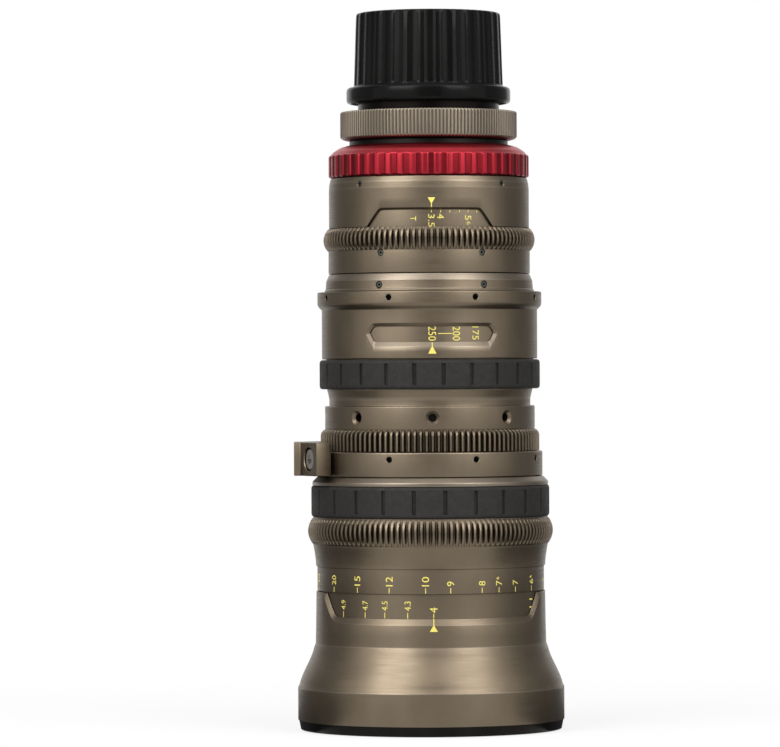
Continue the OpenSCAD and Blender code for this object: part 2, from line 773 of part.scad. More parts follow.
// Threaded ring that holds the front glass against its seat
module front_retainer() {
    color([0.1, 0.1, 0.1]) difference() {
        tube(front_glass_r - fit_gap, front_opening_r, front_glass_z - retainer_h, retainer_h);
        for (a = [0, 180]) rotate([0, 0, a])
            translate([-notch_w * mid_share, -front_glass_r - overrun, front_glass_z - retainer_h - overrun])
                cube([notch_w, front_glass_r - front_opening_r + 2 * overrun,
                      retainer_h * mid_share + overrun]);
    }
}

// Fixed barrel that carries the focus ring outside and the focus cell inside
module focus_barrel() {
    color([0.3, 0.3, 0.3]) difference() {
        turned([
            [barrel_ir, web_z], [barrel_r, web_z], [barrel_r, web_top_z], [bell_ir - fit_gap, web_top_z],
            [bell_ir - fit_gap, web_top_z + barrel_flange_h], [barrel_r, web_top_z + barrel_flange_h],
            [barrel_r, flange_z], [barrel_ir, flange_z]]);
        for (i = [0:2]) rotate([0, 0, 120 * i]) straight_slot(barrel_ir - overrun, barrel_r + overrun,
            focus_pin_z - focus_lead * focus_near_angle, focus_pin_z + focus_lead * focus_far_angle);
        for (i = [0:barrel_screw_count - 1]) rotate([0, 0, 360 * i / barrel_screw_count])
            translate([0, barrel_screw_circle_r, web_top_z - overrun])
                cylinder(r = barrel_screw_r + screw_gap, h = barrel_flange_h + 2 * overrun);
        radial_rods(set_screw_r + screw_gap, barrel_ir - overrun, barrel_r + overrun,
                    main_z + guide_flange_h * mid_share, joint_screw_angles);
    }
}

// Slot along the axis for one follower pin
module straight_slot(inner, outer, low_z, top_z) {
    half_w = follower_r + run_gap;
    translate([-half_w, -outer, low_z]) cube([2 * half_w, outer - inner, top_z - low_z]);
    for (z = [low_z, top_z]) radial_rod(half_w, inner, outer, z, 0);
}

module barrel_screws() {
    color([0.55, 0.55, 0.55]) for (i = [0:barrel_screw_count - 1]) rotate([0, 0, 360 * i / barrel_screw_count])
        translate([0, barrel_screw_circle_r, 0]) difference() {
            union() {
                translate([0, 0, web_top_z - barrel_screw_l])
                    cylinder(r = barrel_screw_r, h = barrel_screw_l + barrel_flange_h + screw_head_h);
                translate([0, 0, web_top_z + barrel_flange_h]) cylinder(r = barrel_head_r, h = screw_head_h);
            }
            translate([0, 0, web_top_z + barrel_flange_h + screw_head_h * mid_share])
                cylinder(r = barrel_head_r * mid_share, h = screw_head_h, $fn = 6);
        }
}

module main_tube() {
    color([0.25, 0.25, 0.25]) difference() {
        tube(main_r, main_ir, main_z, rear_collar_top_z - main_z);
        for (a = zoom_key_angles) arc_slot(main_ir - overrun, main_r + overrun, zoom_key_z,
            follower_r + run_gap, a - zoom_angle - slot_end_angle, a + slot_end_angle);
        radial_rods(set_screw_r + screw_gap, main_ir - overrun, main_r + overrun,
                    main_z + guide_flange_h * mid_share, joint_screw_angles);
        housing_screw_holes();
    }
}

// Tube with straight slots that keeps the zoom cells from turning
module guide_tube() {
    color([0.5, 0.5, 0.5]) difference() {
        turned([
            [guide_ir, main_z], [main_ir - fit_gap, main_z], [main_ir - fit_gap, main_z + guide_flange_h],
            [guide_r, main_z + guide_flange_h], [guide_r, rear_tube_z - guide_flange_h],
            [main_ir - fit_gap, rear_tube_z - guide_flange_h], [main_ir - fit_gap, rear_tube_z],
            [guide_ir, rear_tube_z]]);
        for (i = [0:2]) {
            rotate([0, 0, 120 * i]) straight_slot(guide_ir - overrun, guide_r + overrun,
                variator_z - variator_travel, variator_z);
            rotate([0, 0, 120 * i + compensator_turn]) straight_slot(guide_ir - overrun, guide_r + overrun,
                compensator_z - compensator_travel, compensator_z);
        }
        radial_rods(set_screw_r + screw_gap, guide_r, main_ir + overrun,
                    main_z + guide_flange_h * mid_share, joint_screw_angles);
    }
}

module centre_flange() {
    color([0.46, 0.41, 0.35]) difference() {
        turned([
            [flange_ir, flange_z], [flange_r, flange_z], [flange_r, flange_top_z - flange_edge],
            [flange_r - flange_edge, flange_top_z], [flange_ir, flange_top_z]]);
        housing_screw_holes();
        for (a = [-1, 1]) radial_rod(bracket_shank_r + screw_gap, bracket_thread_r, flange_r + overrun,
            flange_screw_z, a * bracket_screw_angle - 90);
    }
}

// The small screws that hold the flange, the zoom housing, the rear collar and the iris housing
module housing_screw_holes() {
    hole = set_screw_r + screw_gap;
    low = main_r - screw_bite - screw_gap;
    radial_rods(hole, low, flange_r + overrun, flange_screw_z, flange_screw_angles);
    radial_rods(hole, low, zoom_housing_r + housing_flange_out + overrun, housing_screw_z,
                housing_screw_angles);
    radial_rods(hole, low, rear_collar_r + overrun, collar_screw_z, collar_screw_angles);
    radial_rods(hole, rear_tube_r - screw_bite - screw_gap, iris_housing_r + overrun, iris_housing_screw_z,
                joint_screw_angles);
}

module housing_screws() {
    r = set_screw_r;
    low = main_r - screw_bite;
    color([0.2, 0.2, 0.2]) {
        set_screws(r, low, flange_r - set_screw_sink, flange_screw_z, flange_screw_angles);
        set_screws(r, low, zoom_housing_r + housing_flange_out - set_screw_sink, housing_screw_z,
                   housing_screw_angles);
        set_screws(r, low, rear_collar_r - 2 * set_screw_sink, collar_screw_z, collar_screw_angles);
        set_screws(r, rear_tube_r - screw_bite, iris_housing_r - set_screw_sink, iris_housing_screw_z,
                   joint_screw_angles);
        set_screws(r, guide_r + screw_gap, barrel_r - screw_gap, main_z + guide_flange_h * mid_share,
                   joint_screw_angles);
    }
}

// Saddle on the flange with two screw faces and an outer pad, drawn pointing along -Y
module support_bracket() {
    a = bracket_screw_angle;
    half = bracket_face_l * mid_share;
    inner_end = [bracket_face_r * sin(a) - half * cos(a), -bracket_face_r * cos(a) - half * sin(a)];
    outer_end = [bracket_face_r * sin(a) + half * cos(a), -bracket_face_r * cos(a) + half * sin(a)];
    tuck = (flange_r - flange_wall) / norm(outer_end);
    side = [[inner_end[0], -bracket_pad_r], inner_end, outer_end, outer_end * tuck];
    color([0.46, 0.41, 0.35]) rotate([0, 0, -90]) difference() {
        translate([0, 0, bracket_z]) linear_extrude(bracket_w) polygon(concat(
            side, [for (i = [3:-1:0]) [-side[i][0], side[i][1]]]));
        translate([0, 0, bracket_z - overrun]) cylinder(r = bracket_seat_r, h = bracket_w + 2 * overrun);
        for (k = [-1, 1]) {
            radial_rod(counterbore_r, bracket_face_r - counterbore_depth, bracket_face_r + overrun,
                       flange_screw_z, k * a);
            radial_rod(bracket_shank_r + screw_gap, bracket_thread_r, bracket_face_r, flange_screw_z, k * a);
        }
        radial_rod(pad_hole_r, bracket_pad_r - pad_hole_depth, bracket_pad_r + overrun, flange_screw_z, 0);
    }
}

module bracket_screws() {
    seat_r = bracket_face_r - counterbore_depth;
    color([0.6, 0.6, 0.6]) for (k = [-1, 1]) rotate([0, 0, k * bracket_screw_angle - 90]) difference() {
        union() {
            radial_rod(bracket_head_r, seat_r, seat_r + bracket_head_h, flange_screw_z, 0);
            radial_rod(bracket_shank_r, seat_r - bracket_shank_l, seat_r + bracket_head_h * mid_share,
                       flange_screw_z, 0);
        }
        translate([0, 0, flange_screw_z]) rotate([90, 0, 0])
            translate([0, 0, seat_r + bracket_head_h * mid_share])
            cylinder(r = bracket_head_r * mid_share, h = bracket_head_h, $fn = 6);
    }
}

module focus_ring() {
    tip = tip_r(focus_teeth);
    root = root_r(focus_teeth);
    shoulder_r = focus_scale_r + focus_shoulder_step;
    color([0.46, 0.41, 0.35]) difference() {
        union() {
            turned([
                [focus_ring_ir, focus_drum_z], [focus_drum_r, focus_drum_z], [focus_drum_r, focus_z],
                [focus_scale_r, focus_z], [focus_scale_r, focus_shoulder_z],
                [focus_scale_r + focus_shoulder_step * shoulder_share,
                 focus_shoulder_z + focus_shoulder_step * 2],
                [shoulder_r, focus_gear_z], [root - root_sink, focus_gear_z],
                [root - root_sink, focus_grip_z], [focus_seat_r, focus_grip_z], [focus_seat_r, focus_lip_z],
                [focus_ring_ir, focus_lip_z]]);
            intersection() {
                translate([0, 0, focus_gear_z]) linear_extrude(focus_gear_h)
                    polygon(toothed(focus_teeth, root, tip, tooth_shares));
                turned(concat([[focus_ring_ir, focus_gear_z]],
                    crown(tip, focus_gear_z, focus_gear_h, focus_crown_r), [[focus_ring_ir, focus_grip_z]]));
            }
        }
        radial_rods(set_screw_r + screw_gap, sleeve_ir, focus_seat_r + overrun, sleeve_screw_z,
                    sleeve_screw_angles);
    }
}

// Turning sleeve whose helical slots drive the focus cell
module focus_sleeve() {
    color([0.65, 0.55, 0.3]) difference() {
        tube(sleeve_r, sleeve_ir, focus_drum_z, focus_lip_z - focus_drum_z);
        for (i = [0:2]) rotate([0, 0, 120 * i])
            helical_slot(sleeve_ir - overrun, sleeve_r + overrun, focus_pin_z, follower_r + slot_gap,
                         -focus_far_angle, focus_near_angle, -focus_lead);
        radial_rods(set_screw_r + screw_gap, sleeve_ir - overrun, sleeve_r + overrun, sleeve_screw_z,
                    sleeve_screw_angles);
    }
}

module sleeve_screws() {
    color([0.2, 0.2, 0.2])
        set_screws(set_screw_r, sleeve_ir + screw_gap, focus_seat_r - screw_gap, sleeve_screw_z,
                   sleeve_screw_angles);
}

module focus_grip() {
    color([0.15, 0.14, 0.13]) grip(focus_grip_r, focus_seat_r + fit_gap, focus_grip_z, focus_grip_h);
}

module focus_lip_ring() {
    lip_r = focus_grip_r - lip_inset;
    color([0.5, 0.45, 0.38]) turned([
        [sleeve_ir, focus_lip_z], [lip_r, focus_lip_z], [lip_r, focus_top_z - focus_lip_bevel],
        [lip_r - focus_lip_bevel, focus_top_z], [sleeve_ir, focus_top_z]]);
}

module focus_cell() {
    ridge_z = focus_cell_z + focus_front_edge;
    color([0.15, 0.15, 0.15]) difference() {
        turned([
            [focus_cell_ir, focus_cell_z], [focus_cell_r, focus_cell_z], [focus_cell_r, focus_cell_top_z],
            [focus_cell_ir, focus_cell_top_z], [focus_cell_ir, ridge_z + seat_lip],
            [focus_glass_r - seat_lip, ridge_z + seat_lip], [focus_glass_r - seat_lip, ridge_z],
            [focus_cell_ir, ridge_z]]);
        for (i = [0:2]) radial_rod(follower_r + fit_gap, focus_cell_ir - overrun, focus_cell_r + overrun,
                                   focus_pin_z, 120 * i);
    }
}

module focus_element_1() {
    color([0.35, 0.45, 0.5, 0.4]) glass(focus_glass_r, focus_cell_z + focus_front_edge - focus_glass_edge,
                                        focus_glass_edge, focus_glass_sag, focus_glass_sag * mid_share);
}

module focus_element_2() {
    color([0.35, 0.45, 0.5, 0.4]) glass(focus_glass_r, focus_cell_z + focus_front_edge + seat_lip,
                                        focus_glass_edge, -focus_glass_sag * mid_share, focus_glass_sag);
}

// Three pins through the straight slots into the helical ones
module followers(inner, outer, z, first) {
    color([0.75, 0.62, 0.35]) radial_rods(follower_r, inner, outer, z, [for (i = [0:2]) first + 120 * i]);
}

module focus_followers() {
    followers(focus_cell_ir + fit_gap, sleeve_r - fit_gap, focus_pin_z, 0);
}

module zoom_ring() {
    tip = tip_r(zoom_teeth);
    root = root_r(zoom_teeth);
    color([0.46, 0.41, 0.35]) difference() {
        union() {
            turned([
                [zoom_ir, zoom_z], [root - root_sink, zoom_z], [root - root_sink, zoom_band_z],
                [zoom_band_r, zoom_band_z], [zoom_band_r, zoom_neck_z - zoom_band_edge],
                [zoom_band_r - zoom_band_edge, zoom_neck_z], [zoom_neck_r, zoom_neck_z],
                [zoom_neck_r, zoom_grip_z], [zoom_drum_r, zoom_grip_z], [zoom_drum_r, zoom_drum_top_z],
                [zoom_ir, zoom_drum_top_z]]);
            intersection() {
                translate([0, 0, zoom_z]) linear_extrude(zoom_gear_h)
                    polygon(toothed(zoom_teeth, root, tip, tooth_shares));
                turned(concat([[zoom_ir, zoom_z], [tip, zoom_z]], top_round(tip, zoom_band_z, zoom_crown_r),
                              [[zoom_ir, zoom_band_z]]));
            }
        }
        for (i = [0:handle_holes - 1]) rotate([0, 0, 360 * i / handle_holes]) {
            radial_rod(handle_hole_r, zoom_ir - overrun, zoom_band_r + overrun, handle_z, 0);
            translate([0, -zoom_band_r + handle_sink_depth, handle_z]) rotate([90, 0, 0])
                cylinder(r1 = handle_hole_r, r2 = mix(handle_hole_r, handle_sink_r, sink_over_share),
                         h = handle_sink_depth * sink_over_share);
        }
        radial_rods(follower_r + fit_gap, zoom_ir - overrun, zoom_drum_r + overrun, zoom_key_z,
                    zoom_key_angles);
    }
}

module zoom_grip() {
    color([0.15, 0.14, 0.13]) grip(zoom_grip_r, zoom_drum_r + fit_gap, zoom_grip_z, zoom_grip_h);
}

// Turning tube whose helical slots drive both zoom cells
module zoom_cam_tube() {
    half_w = follower_r + slot_gap;
    color([0.65, 0.55, 0.3]) difference() {
        tube(cam_r, cam_ir, cam_z, cam_top_z - cam_z);
        for (i = [0:2]) {
            rotate([0, 0, 120 * i]) helical_slot(cam_ir - overrun, cam_r + overrun, variator_z, half_w,
                                                 0, zoom_angle, -variator_lead);
            rotate([0, 0, 120 * i + compensator_turn]) helical_slot(cam_ir - overrun, cam_r + overrun,
                compensator_z, half_w, 0, zoom_angle, -compensator_lead);
        }
        radial_rods(follower_r + fit_gap, cam_ir - overrun, cam_r + overrun, zoom_key_z, zoom_key_angles);
    }
}

// Two keys that join the zoom ring to the cam tube through the main tube
module zoom_keys() {
    color([0.6, 0.6, 0.6]) radial_rods(follower_r, cam_ir + fit_gap, zoom_drum_r - fit_gap, zoom_key_z,
                                        zoom_key_angles);
}

// Cell with a ridge that seats one glass, its pins half way along
module zoom_cell(z, first) {
    half = zoom_cell_h * mid_share;
    color([0.15, 0.15, 0.15]) difference() {
        turned([
            [zoom_glass_r - seat_lip, z - half], [zoom_cell_r, z - half], [zoom_cell_r, z + half],
            [zoom_cell_ir, z + half], [zoom_cell_ir, z - half + seat_lip],
            [zoom_glass_r - seat_lip, z - half + seat_lip]]);
        for (i = [0:2]) radial_rod(follower_r + fit_gap, zoom_cell_ir + follower_floor,
                                   zoom_cell_r + overrun, z, first + 120 * i);
    }
}

module zoom_glass(z, low_sag, top_sag) {
    color([0.35, 0.45, 0.5, 0.4]) glass(zoom_glass_r, z - zoom_cell_h * mid_share + seat_lip, zoom_glass_edge,
                                        low_sag, top_sag);
}

module variator_cell() { zoom_cell(variator_z, 0); }
module variator_element() { zoom_glass(variator_z, -zoom_glass_sag, -zoom_glass_sag); }
module variator_followers() {
    followers(zoom_cell_ir + follower_floor + fit_gap, cam_r - fit_gap, variator_z, 0);
}
module compensator_cell() { zoom_cell(compensator_z, compensator_turn); }
module compensator_element() { zoom_glass(compensator_z, zoom_glass_sag * mid_share, -zoom_glass_sag); }
module compensator_followers() {
    followers(zoom_cell_ir + follower_floor + fit_gap, cam_r - fit_gap, compensator_z, compensator_turn);
}

module zoom_housing() {
    out_r = zoom_housing_r + housing_flange_out;
    flange_low = rear_collar_z - housing_flange_h;
    color([0.46, 0.41, 0.35]) difference() {
        turned(concat(
            [[zoom_housing_ir, zoom_housing_z], [zoom_housing_r - housing_foot_edge, zoom_housing_z],
             [zoom_housing_r, zoom_housing_z + housing_foot_edge], [zoom_housing_r, flange_low]],
            [for (i = [0:curve_points]) let (a = 90 * i / curve_points)
                [zoom_housing_r + housing_flange_out * sin(a),
                 flange_low + housing_flange_h * flange_rise_share * (1 - cos(a))]],
            top_round(out_r, rear_collar_z, housing_flange_edge),
            [[main_r + fit_gap, rear_collar_z], [main_r + fit_gap, zoom_drum_top_z + run_gap],
             [zoom_housing_ir, zoom_drum_top_z + run_gap]]));
        zoom_window();
        housing_screw_holes();
    }
}

// Six-sided window over the zoom scale, with a bevelled sill
module zoom_window() {
    low = zoom_housing_z + zoom_window_z;
    top = low + zoom_window_h;
    middle = (low + top) * mid_share;
    intersection() {
        turned([[zoom_housing_ir - overrun, low], [zoom_housing_ir, low],
                [zoom_housing_r, low - zoom_sill_drop], [zoom_housing_r + overrun, low - zoom_sill_drop],
                [zoom_housing_r + overrun, top], [zoom_housing_ir - overrun, top]]);
        sector(zoom_window_angle, zoom_window_lean, middle, 2 * zoom_housing_r);
        sector(zoom_window_angle, -zoom_window_lean, middle, 2 * zoom_housing_r);
    }
}

module rear_collar() {
    color([0.55, 0.5, 0.42]) difference() {
        turned(concat([[main_r + fit_gap, rear_collar_z], [rear_collar_r, rear_collar_z]],
            [for (i = [0:curve_points]) let (t = i / curve_points)
                [rear_collar_r - rear_collar_step * (mix(t, t * t, flare_share)), mix(rear_collar_z +
                 rear_collar_foot, rear_collar_top_z, t)]],
            [[main_r + fit_gap, rear_collar_top_z]]));
        housing_screw_holes();
    }
}

// Fixed tube inside the iris ring: iris seat, rear register and the locking thread
module rear_tube() {
    lip_r = register_r + run_gap;
    color([0.2, 0.2, 0.2]) difference() {
        turned([
            [rear_tube_ir, rear_tube_z], [rear_tube_foot_r, rear_tube_z],
            [rear_tube_foot_r, rear_collar_top_z],
            [rear_tube_r, rear_collar_top_z], [rear_tube_r, rear_flange_z], [lip_r, rear_flange_z],
            [lip_r, register_z - run_gap], [rear_tube_ir, register_z - run_gap]]);
        for (a = iris_key_angles) arc_slot(rear_tube_ir - overrun, rear_tube_r + overrun, iris_screw_z,
            set_screw_r + run_gap, a - iris_angle - slot_end_angle, a + slot_end_angle);
        housing_screw_holes();
    }
}

module relay_cell() {
    color([0.15, 0.15, 0.15]) turned([
        [relay_glass_r - seat_lip, rear_tube_z], [rear_tube_ir - fit_gap, rear_tube_z],
        [rear_tube_ir - fit_gap, relay_top_z], [relay_glass_r + fit_gap, relay_top_z],
        [relay_glass_r + fit_gap, rear_tube_z + seat_lip * mid_share],
        [relay_glass_r - seat_lip, rear_tube_z + seat_lip * mid_share]]);
}

module relay_element() {
    color([0.35, 0.45, 0.5, 0.4]) glass(relay_glass_r, rear_tube_z + seat_lip * mid_share, relay_glass_edge,
                                        relay_glass_sag, -relay_glass_sag * mid_share);
}

module iris_base_plate() {
    color([0.2, 0.2, 0.2]) difference() {
        tube(rear_tube_ir - fit_gap, iris_open_r, relay_top_z, iris_plate_h);
        for (i = [0:iris_blades - 1]) rotate([0, 0, 360 * i / iris_blades])
            translate([0, -pivot_circle_r, relay_top_z + iris_plate_floor])
                cylinder(r = pivot_pin_r + blade_gap, h = iris_plate_h);
    }
}

// One curved blade with its pivot pin; each blade has its own layer
module iris_blade(i) {
    z = blade_z + blade_pitch * i;
    color([0.1, 0.1, 0.1]) rotate([0, 0, 360 * i / iris_blades]) {
        intersection() {
            tube(pivot_circle_r - blade_inset, iris_open_r + blade_clear, z, blade_t);
            half_space(blade_span_angle, 0, z, 2 * pivot_circle_r);
            mirror([1, 0, 0]) half_space(0, 0, z, 2 * pivot_circle_r);
        }
        translate([0, -pivot_circle_r, z]) cylinder(r = blade_eye_r, h = blade_t);
        translate([0, -pivot_circle_r, relay_top_z + iris_plate_floor + fit_gap])
            cylinder(r = pivot_pin_r, h = z + blade_t - relay_top_z - iris_plate_floor - fit_gap);
    }
}

module iris_ring() {
    tip = tip_r(iris_teeth);
    root = root_r(iris_teeth);
    color([0.46, 0.41, 0.35]) difference() {
        union() {
            turned([
                [iris_ir, iris_z], [iris_band_r, iris_z], [iris_band_r, iris_gear_z],
                [root - root_sink, iris_gear_z], [root - root_sink, iris_drum_z], [iris_drum_r, iris_drum_z],
                [iris_drum_r, iris_drum_top_z], [iris_ir, iris_drum_top_z]]);
            intersection() {
                translate([0, 0, iris_gear_z]) linear_extrude(iris_gear_h)
                    polygon(toothed(iris_teeth, root, tip, tooth_shares));
                turned(concat([[iris_ir, iris_gear_z]], crown(tip, iris_gear_z, iris_gear_h, iris_crown_r),
                              [[iris_ir, iris_drum_z]]));
            }
        }
        radial_rods(set_screw_r + screw_gap, iris_ir - overrun, iris_band_r + overrun, iris_screw_z,
                    concat(iris_screw_angles, iris_key_angles));
    }
}

module iris_ring_screws() {
    color([0.2, 0.2, 0.2]) set_screws(set_screw_r, iris_ir + screw_gap, iris_band_r - set_screw_sink,
                                       iris_screw_z, iris_screw_angles);
}

// Two longer screws that join the iris ring to the drive ring inside
module iris_keys() {
    color([0.2, 0.2, 0.2]) set_screws(set_screw_r, iris_drive_ir + screw_gap, iris_band_r - set_screw_sink,
                                       iris_screw_z, iris_key_angles);
}

module iris_drive_ring() {
    color([0.5, 0.5, 0.5]) difference() {
        tube(rear_tube_ir - run_gap, iris_drive_ir, iris_z, iris_screw_up + 2 * set_screw_r);
        radial_rods(set_screw_r + screw_gap, iris_drive_ir - overrun, rear_tube_ir + overrun, iris_screw_z,
                    iris_key_angles);
    }
}

module iris_housing() {
    color([0.46, 0.41, 0.35]) difference() {
        turned(concat(
            [[iris_housing_ir, iris_housing_z], [iris_housing_r, iris_housing_z]],
            [for (i = [0:curve_points]) let (t = i / curve_points)
                [iris_housing_r - iris_shoulder * t * t,
                 iris_housing_top_z - iris_shoulder_h * (1 - t)]],
            [[rear_tube_r + fit_gap, iris_housing_top_z], [rear_tube_r + fit_gap, iris_drum_top_z + run_gap],
             [iris_housing_ir, iris_drum_top_z + run_gap]]));
        iris_window();
        housing_screw_holes();
    }
}

// Notch over the iris scale, open towards the gear, with a bevelled upper edge
module iris_window() {
    top = iris_housing_z + iris_window_h;
    intersection() {
        turned([[iris_housing_ir - overrun, iris_housing_z - overrun],
                [iris_housing_r + overrun, iris_housing_z - overrun], [iris_housing_r + overrun, top +
                 iris_sill_drop], [iris_housing_r, top + iris_sill_drop], [iris_housing_ir, top],
                [iris_housing_ir - overrun, top]]);
        sector(iris_window_angle, -iris_window_lean, iris_housing_z + iris_window_h * mid_share,
               2 * iris_housing_r);
    }
}

module rear_barrel() {
    color([0.08, 0.08, 0.08]) turned([
        [rear_barrel_ir, rear_barrel_z], [rear_barrel_r, rear_barrel_z], [rear_barrel_r, rear_barrel_top_z],
        [rear_barrel_ir, rear_barrel_top_z], [rear_barrel_ir, rear_seat_z + seat_lip],
        [rear_glass_r - seat_lip * mid_share, rear_seat_z + seat_lip],
        [rear_glass_r - seat_lip * mid_share, rear_seat_z],
        [rear_barrel_ir, rear_seat_z]]);
}

module rear_element_1() {
    color([0.35, 0.45, 0.5, 0.4]) glass(rear_glass_r, rear_barrel_z + retainer_h, rear_seat_z - rear_barrel_z -
                                        retainer_h, rear_glass_sag, -rear_glass_sag);
}

module rear_element_2() {
    color([0.35, 0.45, 0.5, 0.4]) glass(rear_glass_r, rear_barrel_top_z - retainer_h - rear_glass_edge,
                                        rear_glass_edge, -rear_glass_sag, rear_glass_sag * mid_share);
}

// Ring with two spanner notches at each end of the rear barrel, and a spacer behind the ridge
module rear_retainers() {
    r = rear_barrel_ir - fit_gap;
    ir = rear_glass_r - seat_lip;
    spacer_z = rear_seat_z + seat_lip;
    color([0.1, 0.1, 0.1]) {
        for (z = [rear_barrel_z, rear_barrel_top_z - retainer_h]) difference() {
            tube(r, ir, z, retainer_h);
            translate([-r - overrun, -notch_w * mid_share, z + retainer_h * mid_share])
                cube([2 * r + 2 * overrun, notch_w, retainer_h]);
        }
        tube(r, ir, spacer_z, rear_barrel_top_z - retainer_h - rear_glass_edge - spacer_z);
    }
}

module rear_body() {
    color([0.1, 0.1, 0.1]) turned([
        [rear_body_ir, register_z], [register_r, register_z], [register_r, rear_flange_z],
        [rear_flange_r, rear_flange_z], [rear_flange_r, rear_neck_z], [rear_neck_r, rear_neck_z],
        [rear_neck_r, rear_core_z], [rear_core_r, rear_core_z], [rear_core_r, mount_z],
        [rear_bore_r, mount_z], [rear_bore_r, rear_barrel_top_z], [rear_body_ir, rear_barrel_top_z]]);
}

module camera_mount() {
    color([0.75, 0.74, 0.7]) difference() {
        turned([
            [mount_bore_r, mount_z - mount_sleeve_h], [mount_sleeve_r, mount_z - mount_sleeve_h],
            [mount_sleeve_r, mount_z], [mount_neck_r, mount_z], [mount_neck_r, wing_z], [wing_r, wing_z],
            [wing_r, spigot_z], [spigot_r, spigot_z], [spigot_r, spigot_top_z],
            [spigot_r - spigot_wall, spigot_top_z], [spigot_r - spigot_wall, wing_z], [mount_bore_r, wing_z]]);
        for (i = [0:3]) rotate([0, 0, 90 * i]) intersection() {
            tube(wing_r + overrun, mount_neck_r, wing_z - overrun, wing_h + 2 * overrun);
            sector(wing_gap_angle * mid_share, 0, wing_z, 2 * wing_r);
        }
    }
}

module lock_ring() {
    color([0.6, 0.1, 0.14]) union() {
        intersection() {
            translate([0, 0, lock_z]) linear_extrude(lock_band_h) difference() {
                polygon(toothed(lock_flutes, lock_ring_r, lock_ring_r - lock_flute_depth, flute_shares));
                circle(r = lock_ir);
            }
            turned([[lock_ir - overrun, lock_z], [lock_ring_r - lock_foot_edge, lock_z],
                    [lock_ring_r, lock_z + lock_foot_edge], [lock_ring_r, lock_cone_z],
                    [lock_ir - overrun, lock_cone_z]]);
        }
        turned(concat(
            [[lock_ir, lock_cone_z]],
            [for (i = [0:curve_points]) let (t = i / curve_points)
                [mix(lock_ring_r - lock_flute_depth, lock_top_r,
                     mix(t, 1 - sqrt(1 - t * t), dome_share)), lock_cone_z + lock_cone_h * t]],
            [[rear_neck_r + run_gap, lock_top_z], [rear_neck_r + run_gap, rear_neck_z + run_gap],
             [lock_ir, rear_neck_z + run_gap]]));
    }
}

module back_focus_ring() {
    low = knurl_z;
    top = knurl_z + knurl_h;
    color([0.42, 0.37, 0.32]) difference() {
        intersection() {
            translate([0, 0, low]) linear_extrude(knurl_h)
                polygon(toothed(knurl_count, knurl_r - knurl_depth, knurl_r, knurl_shares));
            turned(concat([[0, low], [knurl_r - knurl_bevel, low], [knurl_r, low + knurl_bevel * mid_share]],
                          top_round(knurl_r, top, knurl_edge), [[0, top]]));
        }
        turned([[0, low - overrun], [rear_core_r + run_gap, low - overrun],
                [rear_core_r + run_gap, mount_z - run_gap],
                [mount_neck_r + run_gap, mount_z - run_gap], [mount_neck_r + run_gap, top + overrun],
                [0, top + overrun]]);
    }
}

module rear_cap() {
    skirt_ir = wing_r + run_gap;
    inner_r = spigot_r + cap_clear;
    taper = atan2(cap_foot_r - cap_top_r, cap_body_h);
    color([0.05, 0.05, 0.05]) difference() {
        turned(concat([[skirt_ir, cap_z]], low_round(cap_lip_r, cap_z, cap_lip_edge),
            top_round(cap_lip_r, cap_body_z, cap_lip_edge), [[cap_foot_r, cap_body_z]],
            top_round(cap_top_r, cap_top_z, cap_edge),
            [[0, cap_top_z], [0, cap_top_z - cap_top_wall], [inner_r, cap_top_z - cap_top_wall],
             [inner_r, spigot_z + fit_gap], [skirt_ir, spigot_z + fit_gap]]));
        for (i = [0:cap_flutes - 1]) rotate([0, 0, 360 * i / cap_flutes])
            translate([0, -cap_foot_r + cap_flute_depth - cap_flute_r, cap_body_z]) rotate([-taper, 0, 0])
                cylinder(r = cap_flute_r, h = cap_body_h + overrun);
    }
}

front_ring();
front_bell();
front_cell();
front_element();
second_element();
front_retainer();
focus_barrel();
barrel_screws();
main_tube();
guide_tube();
centre_flange();
housing_screws();
support_bracket();
bracket_screws();
zoom_housing();
rear_collar();
rear_tube();
relay_cell();
relay_element();
iris_base_plate();
iris_housing();
focus_ring();
focus_sleeve();
sleeve_screws();
focus_grip();
focus_lip_ring();
focus_cell();
focus_element_1();
focus_element_2();
focus_followers();
zoom_ring();
zoom_grip();
zoom_cam_tube();
zoom_keys();
variator_cell();
variator_element();
variator_followers();
compensator_cell();
compensator_element();
compensator_followers();
iris_ring();
iris_ring_screws();
iris_keys();
iris_drive_ring();
iris_blade(0);  // iris_blade_1
iris_blade(1);  // iris_blade_2
iris_blade(2);  // iris_blade_3
iris_blade(3);  // iris_blade_4
iris_blade(4);  // iris_blade_5
iris_blade(5);  // iris_blade_6
rear_barrel();
rear_body();
rear_element_1();
rear_element_2();
rear_retainers();
camera_mount();
lock_ring();
back_focus_ring();
rear_cap();
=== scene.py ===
# %% [markdown]
# # A cine zoom lens, dressed for the studio
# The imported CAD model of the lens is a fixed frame. Nearly everything that the eye meets on
# this lens is turned on a lathe, so most pieces are one idea: an outline of radius against
# height, swept round the optical axis, with teeth, flutes, notches and windows as functions
# of the angle. Lengths are in millimetres up to the mesh.

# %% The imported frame
import math
import bpy
import numpy as np
from mathutils import Matrix, Vector


